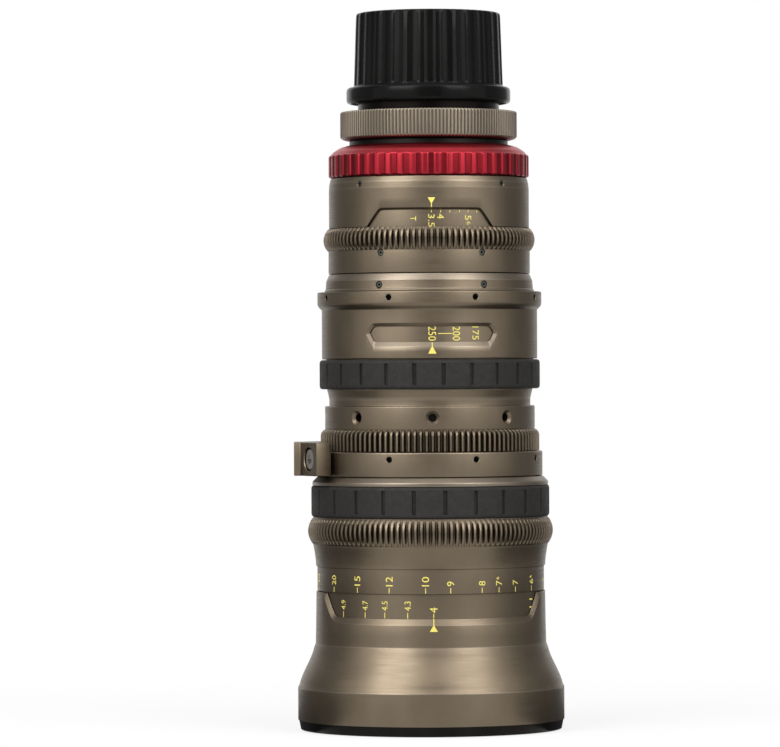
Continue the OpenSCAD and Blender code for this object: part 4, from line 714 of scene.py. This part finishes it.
# %% Zoom ring
ZOOM_BODY = [
    [41.9, 119.1], [44.7, 119.1], [44.7, 128.5], [44.9, 128.5, 0.1],
    [44.9, 138.2, 0.6], [43.05, 138.2, 0.25], [43.0, 141.3, 1.2], [43.9, 144.9, 0.1],
    [43.9, 145.4], [44.4, 145.4], [44.4, 177.9, 0.1], [41.9, 177.9]]
handle_holes = bores(every(45), 133.35, [(40, 1.75), (43.75, 1.75), (45.75, 3.9)])
key_holes = bores([0, 180], 175.5, [(40, 1.55), (46, 1.55)])
lathe("zoom_body", ZOOM_BODY, "zoom_ring", "zoom_ring", holes=handle_holes + key_holes)
rounded = [[43.8 + 3 * math.cos(v), 125.5 + 3 * math.sin(v)]
           for v in np.linspace(0, math.pi / 2, 8)]
gear("zoom_gear", "zoom_ring", 115, 46.8, 44.3,
     [[44.2, 119.1], [46.8, 119.1, 0.15]] + rounded + [[43.6, 128.5]])

# %% [markdown]
# ## Zoom housing
# A single sweep can't hold the six-sided window, so the housing is two turned rings, under
# and over the window's middle line. Where there is no window they share a wall, and make_mesh
# removes walls that occur twice.

# %% Zoom housing
WINDOW_MID, WINDOW_ENDS = 169.2, (36.9, 35.3)
HOUSING_R, SILL_R, HOUSING_IR = 46.1, 44.95, 44.7


def opening(off, half, slope, reach, tip=0.7, corner=0.9):
    """Half height of the window at an angle off its middle. With u the distance inside its end it
    grows as slope sqrt(u (u + 2 tip)), a round end, up to a soft minimum at reach."""
    inside = HOUSING_R * (math.radians(half) - off).clip(0)
    rise = slope * np.sqrt(inside * (inside + 2 * tip))
    return ((rise + reach - np.sqrt((rise - reach) ** 2 + corner ** 2)) / 2).clip(0)


def housing_mesh():
    """Each bevel is seven rows between an outer and an inner opening. Past an opening's end its
    row lies where both halves meet."""
    turn = angles(576, [(s * 34, 4.5, 130) for s in (-1, 1)])
    off, full = off_middle(turn), np.ones_like(turn)
    degrees = np.degrees(off)
    edge_r = np.interp(degrees, WINDOW_ENDS[::-1], (SILL_R, HOUSING_R))
    low_bevel, top_bevel = [], []
    for share in np.linspace(0, 1, 7):
        half = WINDOW_ENDS[0] + (WINDOW_ENDS[1] - WINDOW_ENDS[0]) * share
        r = np.where(degrees < half, HOUSING_R + (SILL_R - HOUSING_R) * share, edge_r)
        below = opening(off, half, 1.5 - 0.05 * share, 6.0 - 2.0 * share)
        low_bevel.append((r, WINDOW_MID - below))
        top_bevel.append((r, WINDOW_MID + opening(off, half, 1.15, 4.1 - 1.3 * share)))
    low_rows = outline([[HOUSING_IR, 158.2], [HOUSING_R, 158.2, 0.5], [HOUSING_R, 161]])
    top_rows = outline([
        [HOUSING_R, 174], [HOUSING_R, 179.1, 0.3], [46.7, 179.7, 0.4], [47.6, 180.6, 0.5],
        [47.95, 181.6, 0.5], [47.95, 186.8, 0.6], [41.65, 186.8], [41.65, 178.2],
        [HOUSING_IR, 178.2], [HOUSING_IR, 173]])
    low_part = [(full * r, full * z) for r, z, _ in low_rows]
    low_part += low_bevel + [(full * HOUSING_IR, low_bevel[-1][1])]
    top_part = [(full * r, full * z) for r, z, _ in top_rows]
    top_part += [(full * HOUSING_IR, top_bevel[-1][1])] + top_bevel[::-1]
    points, faces, pale, first = [], [], [], 0
    for rows, bevel in ((low_part, low_bevel), (top_part, ())):
        r, z = (np.stack(v) for v in zip(*rows))
        points.append(swept(r, z, turn[None, :]).reshape(-1, 3))
        faces.append(faces_of_grid(len(rows), len(turn), first))
        # The lower bevel inside the window is stored as edge and so takes the paler edge colour:
        # painted highlight where it faces up.
        bevelled = np.repeat([any(row is b for b in bevel) for row in rows], len(turn))
        pale.append(bevelled * (np.tile(degrees, len(rows)) < WINDOW_ENDS[0]))
        first += len(points[-1])
    mesh = make_mesh("zoom_housing_ring", np.concatenate(points), np.concatenate(faces),
                     edge=np.concatenate(pale))
    smooth(mesh)
    return mesh


housing = cut(housing_mesh(), bores(every(45, 22.5), 184.1, plain_bore(47.95)))
dress("zoom_housing_ring", housing, "barrel", "bronze_anodised", "zoom_housing")

# %% Rear collar
COLLAR = [[41.65, 186.8], [44.8, 186.8, 0.2], [44.8, 187.5, 0.2], [44.4, 187.9, 0.2],
          [44.15, 191.3], [41.65, 191.3]]
COLLAR_BEVEL = [[41.7, 191.2], [44.1, 191.2], [44.1, 191.5, 0.15], [42.9, 194.3, 0.25],
                [41.7, 194.3]]
lathe("rear_collar_ring", COLLAR, "barrel", "rear_collar", holes=bores(
    every(60, 30), 189.5, [(40.5, 1.45), (44.0, 1.45), (44.5, 1.75), (45.5, 1.75)]))
# The bevel wears the lighter bronze copy as painted highlight where it faces up.
lathe("rear_collar_bevel", COLLAR_BEVEL, "barrel", finish=painted_highlight_bronze)

# %% [markdown]
# ## Iris ring and housing
# The iris ring is a plain band, a gear and a drum with the scale. Its housing covers the drum
# except for a notch, wide at the gear and narrower above, with a bevelled upper edge.

# %% Iris ring
IRIS_BODY = [[38.9, 194.6], [43.1, 194.6, 0.2], [43.1, 204.3, 0.1], [43.0, 204.3],
             [43.0, 213.7], [41.4, 213.7], [41.4, 222.9, 0.1], [38.9, 222.9]]
lathe("iris_body", IRIS_BODY, "iris_ring", "iris_ring",
      holes=bores(every(60, 30), 203, plain_bore(43.1, 1.4, 3.4)))
gear("iris_gear", "iris_ring", 111, 45.2, 42.2,
     [[42.0, 204.3]] + crowned(45.2, 204.3, 213.7, 6.8) + [[41.6, 213.7]])

# %% Iris housing
IRIS_IR, IRIS_R = 41.7, 42.8
IRIS_LOW, IRIS_STEP, IRIS_TOP = 214.0, 223.2, 235.4
NOTCH_MIDDLE, NOTCH_HALF, NOTCH_LEAN, NOTCH_Z = -0.9, 34.4, 39, 217.5
NOTCH_TOP_IN, NOTCH_TOP_OUT, NOTCH_BLEND = 221.0, 221.9, 0.9
IRIS_HOUSING = [
    [IRIS_IR, IRIS_LOW, 0.08], [IRIS_R, IRIS_LOW, 0.12], [IRIS_R, 226], [IRIS_R, 230.6, 0.5],
    [42.55, 233.2, 0.6], [41.9, IRIS_TOP, 0.4], [38.65, IRIS_TOP], [38.65, IRIS_STEP],
    [IRIS_IR, IRIS_STEP]]


def iris_notch(r, z, angle):
    """Lifts the lower edge to the notch's height at that angle, more outside than inside."""
    off = np.radians(NOTCH_HALF) - off_middle(angle, np.radians(NOTCH_MIDDLE))
    ends = leaning(off, NOTCH_LEAN, IRIS_R, NOTCH_Z)
    inner = -soft_max(-NOTCH_TOP_IN, -ends, NOTCH_BLEND)
    outer = -soft_max(-NOTCH_TOP_OUT, -ends - 0.5, NOTCH_BLEND)
    share = np.clip((r - IRIS_IR) / (IRIS_R - IRIS_IR), 0, 1)
    edge = np.maximum(inner + (outer - inner) * share, IRIS_LOW)
    lifted = edge + (z - IRIS_LOW) * (IRIS_STEP - edge) / (IRIS_STEP - IRIS_LOW)
    return r, np.where((z < IRIS_STEP) & (r > IRIS_IR - 0.1), lifted, z)


lathe("iris_housing_ring", IRIS_HOUSING, "barrel", "iris_housing", shape=iris_notch,
      angle=angles(576, [(NOTCH_MIDDLE + s * NOTCH_HALF, 6, 72) for s in (-1, 1)]),
      holes=bores(every(90, 45), 232.3, [(40, 1.25), (42.3, 1.25), (43.2, 1.9)]))

# %% [markdown]
# ## Rear group
# The red ring locks the rear group on: a fluted band under a smooth cone. Above it are a
# black neck, the finely knurled back focus ring and the camera's mount under the cap.

# %% Locking ring
LOCK_FLUTES, LOCK_FLUTE_DEPTH, LOCK_BAND_TOP = 50, 0.33, 245.1
LOCK_FLUTE = pitch_profile([(0, 1), (0.16, 1), (0.2, 0.95), (0.26, 0.55), (0.3, 0.1),
                            (0.36, 0), (0.5, 0)])
LOCK = [[38.9, 235.7], [42.3, 235.7, 0.2], [42.85, 236.3, 0.2], [42.85, 244.6, 0.1],
        [42.5, LOCK_BAND_TOP, 0.2], [42.15, 245.3, 0.2], [40.6, 246.9, 0.7], [37.9, 248.6, 0.8],
        [34.5, 249.5, 0.15], [34.2, 249.5], [34.2, 246.4], [38.9, 246.4]]


def fluted(r, z, angle):
    """Shallow flutes in the band, below the cone."""
    dip = np.interp(pitch_share(angle, LOCK_FLUTES), *LOCK_FLUTE)
    depth = LOCK_FLUTE_DEPTH * np.clip((LOCK_BAND_TOP - z) / 0.5, 0, 1)
    return np.where(r > 42.16, np.maximum(r - depth * dip, 42.0), r), z


lathe("lock_ring_red", LOCK, "lock_ring", "lock_ring", "red_anodised", shape=fluted,
      angle=pitch_angles(LOCK_FLUTES, LOCK_FLUTE[0, :-1]))

# %% Camera mount
MOUNT_NECK, WING_GAP = 30.2, 17
MOUNT = [[21.65, 252.1], [22.95, 252.1, 0.1], [22.95, 262.1], [MOUNT_NECK, 262.1, 0.15],
         [MOUNT_NECK, 268.1], [33, 268.1, 0.3], [33, 271.1, 0.3], [27, 271.1, 0.15],
         [27, 280.6, 0.5], [24, 280.6, 0.3], [24, 268.1], [21.65, 268.1]]


def winged(r, z, angle):
    """Four wings: the radius stops at the neck in a gap at each quarter turn."""
    off = np.abs((angle + math.pi / 4) % (math.pi / 2) - math.pi / 4)
    return np.where(off < math.radians(WING_GAP), np.minimum(r, MOUNT_NECK), r), z


lathe("mount_flange", MOUNT, "rear_group", "camera_mount", "steel", mount_metal, shape=winged,
      angle=angles(288, [(a + s * WING_GAP, 0.1, 2) for a in every(90) for s in (-1, 1)]))

# %% Rear body and knurled ring
REAR_BODY = [[27.05, 239.9], [32, 239.9, 0.2], [32, 242.7], [38.3, 242.7, 0.2],
             [38.3, 246.1, 0.2], [33.9, 246.1, 0.1], [33.9, 251.4, 0.3], [28.2, 251.4],
             [28.2, 262.1], [23, 262.1], [23, 249.1], [27.05, 249.1]]
lathe("rear_neck_black", REAR_BODY, "rear_group", "rear_body", "black_anodised")
KNURL_RIBS, KNURL_TIP, KNURL_HEIGHT = 150, 37.8, 0.45
KNURL_RIB = pitch_profile([(0, 1), (0.1, 1), (0.16, 0.88), (0.34, 0.12), (0.42, 0), (0.5, 0)])
KNURL = [[28.5, 251.7], [35.2, 251.7, 0.3], [37.0, 252.2, 0.3], [KNURL_TIP, 253.0, 0.3],
         [KNURL_TIP, 255], [KNURL_TIP, 263.9, 0.9], [30.5, 263.9, 0.2], [30.5, 261.8],
         [28.5, 261.8]]
# The knurled ring wears the lighter bronze copy as painted highlight.
lathe("knurled_ring", KNURL, "back_focus_ring", "back_focus_ring", finish=painted_highlight_bronze,
      angle=pitch_angles(KNURL_RIBS, KNURL_RIB[0, :-1]),
      shape=toothed(KNURL_TIP - KNURL_HEIGHT, KNURL_TIP, KNURL_RIBS, 33, KNURL_RIB))

# %% [markdown]
# ## Rear cap
# A deep plastic cap with a rounded lip and 28 broad hollow flutes. A flute is the trace of a
# round cutter that runs up the wall: at an angle b from its middle the wall stands at c cos b
# - sqrt(f^2 - c^2 sin^2 b), with the cutter's radius f and its centre c from the axis.

# %% Cap
CAP_FLUTES, CUTTER_R, FLUTE_DEPTH = 28, 6.8, 0.6
CAP_LIP, FLUTE_FOOT, CAP_TOP = 274.4, 274.9, 306.2
CAP_LOW_R, CAP_TOP_R, CAP_IR = 32.0, 30.9, 28.2
CAP = [[33.3, 267.4, 0.2], [35.1, 267.4, 1.7], [35.1, CAP_LIP, 1.9], [32.3, CAP_LIP, 0.25],
       [CAP_LOW_R, 274.95, 0.1], [31.98, 275.5], [31.95, 276], [31.6, 286],
       [31.25, 297], [CAP_TOP_R, CAP_TOP, 1.6], [0, CAP_TOP], [0, 303.4],
       [CAP_IR, 303.4, 0.5], [CAP_IR, 271.15], [33.3, 271.15]]


def cap_flutes(r, z, angle):
    """The smaller of the outline and the cutter's trace, above the lip."""
    b = pitch_share(angle, CAP_FLUTES) * TURN / CAP_FLUTES
    centre = np.interp(z, [CAP_LIP, CAP_TOP], [CAP_LOW_R, CAP_TOP_R]) - FLUTE_DEPTH + CUTTER_R
    inside = CUTTER_R ** 2 - (centre * np.sin(b)) ** 2
    trace = np.where(inside > 0, centre * np.cos(b) - np.sqrt(np.maximum(inside, 0)), 99)
    start = np.clip((z - FLUTE_FOOT) / 0.6, 0, 1)
    wall = (z > FLUTE_FOOT) & (r > CAP_IR + 0.1)
    return np.where(wall, r - np.maximum(r - trace, 0) * start, r), z


lathe("cap_body", CAP, "rear_cap", "rear_cap", "cap_plastic", shape=cap_flutes,
      angle=pitch_angles(CAP_FLUTES, np.linspace(-0.5, 0.5, 21)[:-1]))

# %% [markdown]
# ## Glasses
# Two shallow domes that stop at a flat rim, with many steps, because glass shows every facet.

# %% Lens glasses
FLAT_RIM = 3


def dome(radius, z, sag):
    """Corners from the axis to the dome's rim: height = z + sag (1 - t^2)."""
    return [[radius * t, z + sag * (1 - t * t)] for t in np.linspace(0, 1, 24)]


def glass(name, body, radius, z, thick, low_sag, top_sag):
    corners = dome(radius - FLAT_RIM, z, -low_sag) + [[radius, z, 0.15], [radius, z + thick, 0.15]]
    corners += dome(radius - FLAT_RIM, z + thick, top_sag)[::-1]
    lathe(name + "_glass", corners, body, name, "lens_glass", angle=angles(192))


glass("front_element", "barrel", 50, 9, 5, 3.6, -2)
glass("second_element", "barrel", 46.5, 17, 6, 0, 2)
glass("focus_element_1", "focus_group", 38, 39, 8, 3, 1.5)
glass("focus_element_2", "focus_group", 38, 50, 8, -1.5, 3)
glass("variator_element", "variator", 31, 153, 6, -2, -2)
glass("compensator_element", "compensator", 31, 167, 6, 1, -2)
glass("relay_element", "barrel", 32, 185.5, 4, 1.2, -0.6)

# %% [markdown]
# ## Scales and index marks
# The numbers are engraved and filled with yellow paint: flat lettering wrapped on its drum, a
# few hundredths of a millimetre proud. The focus numbers read upwards, those of the zoom and
# iris downwards. A scale runs round its drum as far as the ring turns, so a number stands at
# the index at both stops.

# %% Lettering on a drum
LIFT, SUNK = 0.035, -0.03
UPWARDS, LEVEL, DOWNWARDS = 1, 0, -1


def glyphs(text, height, length):
    """Points (across, up, out) and faces of a word, centred, of that height and length."""
    curve = bpy.data.curves.new("word", "FONT")
    curve.body, curve.extrude, curve.resolution_u = text, 0.05, 3
    mesh = baked(linked("word", curve))
    co = np.zeros(len(mesh.vertices) * 3)
    mesh.vertices.foreach_get("co", co)
    co = co.reshape(-1, 3)
    low, high = co.min(0), co.max(0)
    co = (co - (low + high) / 2) / (high - low)
    out = np.where(co[:, 2] > 0, LIFT, SUNK)
    faces = [tuple(p.vertices) for p in mesh.polygons]
    return np.c_[co[:, 0] * length, co[:, 1] * height, out], faces


def bar(start, end, half_start, half_end, stations=6):
    """A thin plate along a line, from one half width to another: four edges swept along it."""
    t = np.linspace(0, 1, stations)[:, None]
    start, end = np.array(start, float), np.array(end, float)
    along = (end - start) / np.linalg.norm(end - start)
    side = np.array([-along[1], along[0]])
    middle, half = start + (end - start) * t, half_start + (half_end - half_start) * t
    edges = [np.c_[middle + side * half * s, np.full(stations, n)]
             for s, n in ((-1, SUNK), (1, SUNK), (1, LIFT), (-1, LIFT))]
    ring = np.arange(stations - 1)[:, None] * 4 + np.arange(4)
    ahead = np.arange(stations - 1)[:, None] * 4 + (np.arange(4) + 1) % 4
    faces = np.stack([ring, ahead, ahead + 4, ring + 4], -1).reshape(-1, 4).tolist()
    last = 4 * (stations - 1)
    ends = [[3, 2, 1, 0], [last, last + 1, last + 2, last + 3]]
    return np.stack(edges, 1).reshape(-1, 3), faces + ends


def tick(angle, middle, length, half, half_end=None, stations=6):
    """An upright line about a height; a negative length draws it downwards."""
    plate = bar((0, -length / 2), (0, length / 2), half, half_end or half, stations)
    return angle, middle, LEVEL, plate


def words(turn, rows):
    """Marks from rows of angle, height on the drum, text, height and length of the text."""
    return [(a, z, turn, glyphs(text, height, length)) for a, z, text, height, length in rows]


def scale(name, body, drum, marks):
    """Wraps marks (angle, height, turn, (points, faces)) on a drum of (heights, radii)."""
    points, faces, first = [], [], 0
    for angle, height, turn, (flat, polygons) in marks:
        across = -turn * flat[:, 1] if turn else flat[:, 0]
        z = height + (turn * flat[:, 0] if turn else flat[:, 1])
        radius = np.interp(z, *drum)
        points.append(swept(radius + flat[:, 2], z, math.radians(angle) + across / radius))
        faces += [tuple(first + v for v in p) for p in polygons]
        first += len(flat)
    mesh = bpy.data.meshes.new(name)
    mesh.from_pydata(np.concatenate(points).tolist(), [], faces)
    mesh.validate()
    dress(name, mesh, body, None, finish=yellow_paint)

# %% Focus scale
def focus_mark(angle, text, low, length, height):
    """A tick with a number above it, and a small raised digit after a space. "far" is the sign
    for infinity, an 8 upright among the numbers lying down."""
    number, _, small = text.partition(" ")
    far = number == "far"
    width = 3.4 if far else 2.0 * len(number.replace(".", ""))
    z = low + length + 0.8 + width / 2
    marks = [tick(angle, low + length / 2, length, 0.17)]
    if far:
        marks += words(LEVEL, [(angle, z, "8", width, 2.0)])
    else:
        marks += words(UPWARDS, [(angle, z, number, height, width)])
    if small:
        marks += words(UPWARDS, [(angle - 0.9, low + length + width + 1.8, small, 1.6, 1.1)])
    return marks


UPPER = {-113: "far", -97: "50", -80: "30", -58.9: "20", -41.0: "15", -22.5: "12", -4.0: "10",
         8.5: "9", 25.0: "8", 34.9: "7 6", 46.0: "7", 60.1: "6 6", 79.5: "6", 90.5: "5 6",
         101: "5"}
LOWER = {-113: "far", -93: "8", -74: "5.5", -52.7: "4.9", -37.2: "4.7", -25.6: "4.5",
         -13.3: "4.3", 62.4: "11", 82: "3", 101: "1.5"}
focus_marks = [m for a, text in UPPER.items() for m in focus_mark(a, text, 59.75, 2.2, 3.1)]
focus_marks += [m for a, text in LOWER.items() for m in focus_mark(a, text, 49.2, 2.4, 2.7)]
focus_marks += words(UPWARDS, [(0, 52.7, "4", 3.2, 2.2)]) + [tick(0, 50.3, 1.8, 0.17)]
scale("focus_scale", "focus_ring", ([49, 59.39, 59.41, 69], [47.3, 47.3, 48.5, 48.5]),
      focus_marks)

# %% Zoom and iris scales
ZOOM_Z, IRIS_Z, TICK_Z = 168.75, 217.5, 220.2
ZOOM_ON = {41: "150", 51: "125", 62: "100", 73: "80", 85: "60", 94: "50", 104: "40", 120: "30"}
zoom_marks = words(DOWNWARDS, [(0, ZOOM_Z, "250", 3.3, 6.0), (13.3, ZOOM_Z, "200", 3.3, 6.0),
                               (24.4, 168.9, "175", 3.0, 5.6)])
zoom_marks += [(7.0, ZOOM_Z, LEVEL, bar((-2.9, 0), (2.9, 0), 0.16, 0.16))]
zoom_marks += words(DOWNWARDS, [(a, ZOOM_Z, text, 3.3, 2.0 * len(text))
                                for a, text in ZOOM_ON.items()])
scale("zoom_scale", "zoom_ring", ([100, 200], [44.4, 44.4]), zoom_marks)

STOPS = (0, 5.4, 10.8, 16.7, 22.0, 27.7, 33.3, 39, 44.3, 49.7, 55, 60.5, 66, 71.5, 77, 82.5, 88)
IRIS_ON = {39: "8", 55: "11", 71.5: "16", 88: "22"}
iris_marks = words(DOWNWARDS, [
    (-10.7, 217.2, "T", 2.5, 1.8), (0, 216.3, "3.5", 2.7, 5.4), (5.4, 218.1, "4", 2.9, 2.0),
    (22.0, IRIS_Z, "5", 2.9, 2.0), (22.4, 215.2, "6", 1.8, 1.3)])
iris_marks += words(DOWNWARDS, [(a, IRIS_Z, text, 2.9, 2.0 * len(text))
                                for a, text in IRIS_ON.items()])
iris_marks += [tick(a, TICK_Z, 1.0, 0.16) for a in STOPS]
scale("iris_scale", "iris_ring", ([200, 230], [41.4, 41.4]), iris_marks)

# %% Index marks
scale("focus_index", "barrel", ([38, 46.6, 49.2, 52], [49.3, 49.11, COLLAR_IN, COLLAR_IN]),
      [tick(0, 45.1, 2.8, 1.7, 0.1), tick(0, 47.7, 2.8, 0.2, stations=24)])
scale("zoom_index", "barrel", ([150, 163.6, 165.4, 170], [46.1, 46.1, 44.7, 44.7]),
      [tick(0, 161.9, 3.2, 1.75, 0.1), tick(0, 164.3, 1.8, 0.2, stations=12)])
scale("iris_index", "barrel", ([222.4, 230], [IRIS_R, IRIS_R]),
      [tick(0, 224.7, -2.6, 1.6, 0.1), tick(0, 222.8, -1.6, 0.2)])

# %% [markdown]
# ## Studio
# The lens stands on a pale floor in front of white, with a large soft lamp at either side of
# the camera and one above. Grey cards at the sides and in front, and darker ones on the
# table, are seen by reflections alone and give round metal its dark edges.

# %% Floor and cards
def polar(distance, azimuth):
    """x and y at a distance from the axis, the azimuth in degrees from -Y."""
    a = math.radians(azimuth)
    return distance * math.sin(a), -distance * math.cos(a)


def stage_sheet(name, points, material):
    mesh = bpy.data.meshes.new(name)
    mesh.from_pydata(points, [], [(0, 1, 2, 3)])
    mesh.materials.append(material)
    sheet = linked(name, mesh)
    return sheet


def floor_material():
    """Paper with a large share of its own light, which grows away from the object and which
    diffuse rays don't see."""
    material, tree = shader("floor")
    tree.nodes.clear()
    away = added(tree, "VectorMath", {0: object_place(tree)}, operation="LENGTH")
    share = spread(tree, away.outputs["Value"], 0.80, 1.0, 0.10, 0.40)
    ray = added(tree, "LightPath").outputs
    seen = added(tree, "Math", {0: ray["Is Camera Ray"], 1: ray["Is Transmission Ray"]},
                 operation="MAXIMUM")
    seen = added(tree, "Math", {0: seen.outputs[0], 1: ray["Is Glossy Ray"]},
                 operation="MAXIMUM")
    share = added(tree, "Math", {0: share, 1: seen.outputs[0]}, operation="MULTIPLY")
    paper = added(tree, "BsdfDiffuse", {"Color": (0.86, 0.86, 0.86)})
    mix = added(tree, "MixShader", {"Fac": share.outputs[0], 1: paper.outputs[0],
                                    2: added(tree, "Emission").outputs[0]})
    added(tree, "OutputMaterial", {"Surface": mix.outputs[0]})
    return material


def card(name, points, tone):
    """A sheet of one even tone that only reflections see."""
    material, tree = shader(name)
    surface(tree, {"Base Color": (0, 0, 0), "Specular IOR Level": 0,
                   "Emission Color": (1, 1, 1), "Emission Strength": tone})
    sheet = stage_sheet(name, points, material)
    sheet.visible_camera = sheet.visible_diffuse = False
    sheet.visible_shadow = sheet.visible_transmission = False


FLOOR_Z, TABLE_CARD_Z = -0.0003, 0.0004
CARD_TONE, TABLE_TONE = 0.3, 0.08
stage_sheet("floor", [(x, y, FLOOR_Z) for x, y in ((-3, -3), (3, -3), (3, 3), (-3, 3))],
            floor_material())
for name, start, stop, distance, low, high in (("card_left", -84, -140, 0.9, 0.001, 1.3),
                                               ("card_right", 84, 142, 0.9, 0.001, 1.3),
                                               ("card_front", -17, 17, 1.3, -0.3, 0.75)):
    a, b = polar(distance, start), polar(distance, stop)
    card(name, [(*a, low), (*b, low), (*b, high), (*a, high)], CARD_TONE)
for name, side in (("table_card_left", -1), ("table_card_right", 1)):
    card(name, [(*polar(r, side * v), TABLE_CARD_Z)
                for r, v in ((0.062, 55), (0.8, 60), (0.8, 142), (0.062, 142))], TABLE_TONE)

# %% Lamps and world
LAMP_AIM = 0.14


def softbox(name, azimuth, distance, height, size, watts):
    """A rectangular lamp at an azimuth, turned towards the middle of the lens."""
    lamp = bpy.data.lights.new(name, "AREA")
    lamp.shape, lamp.energy = "RECTANGLE", watts
    lamp.size, lamp.size_y = size
    holder = linked(name, lamp)
    at = np.array([*polar(distance, azimuth), height])
    holder.location = at
    aim = Vector(np.array([0, 0, LAMP_AIM]) - at)
    holder.rotation_euler = aim.to_track_quat("-Z", "Y").to_euler()


softbox("soft_left", -40, 1.3, 1.0, (0.95, 1.1), 17)
softbox("soft_right", 40, 1.3, 1.0, (0.8, 1.1), 12.5)
softbox("soft_top", 0, 0.45, 1.75, (1.6, 0.8), 3.0)

world = bpy.data.worlds.new("studio")
bpy.context.scene.world = world
world.use_nodes = True
tree = world.node_tree
diffuse = added(tree, "LightPath").outputs["Is Diffuse Ray"]
feed(tree, tree.nodes["Background"],
     {"Color": (1, 1, 1), "Strength": spread(tree, diffuse, 1.0, 0.5, 0, 1)})
bpy.context.scene.view_settings.view_transform = "Standard"

# %% Sizes and the end
print("new pieces:", len(made), "with", sum(made.values()), "triangles")
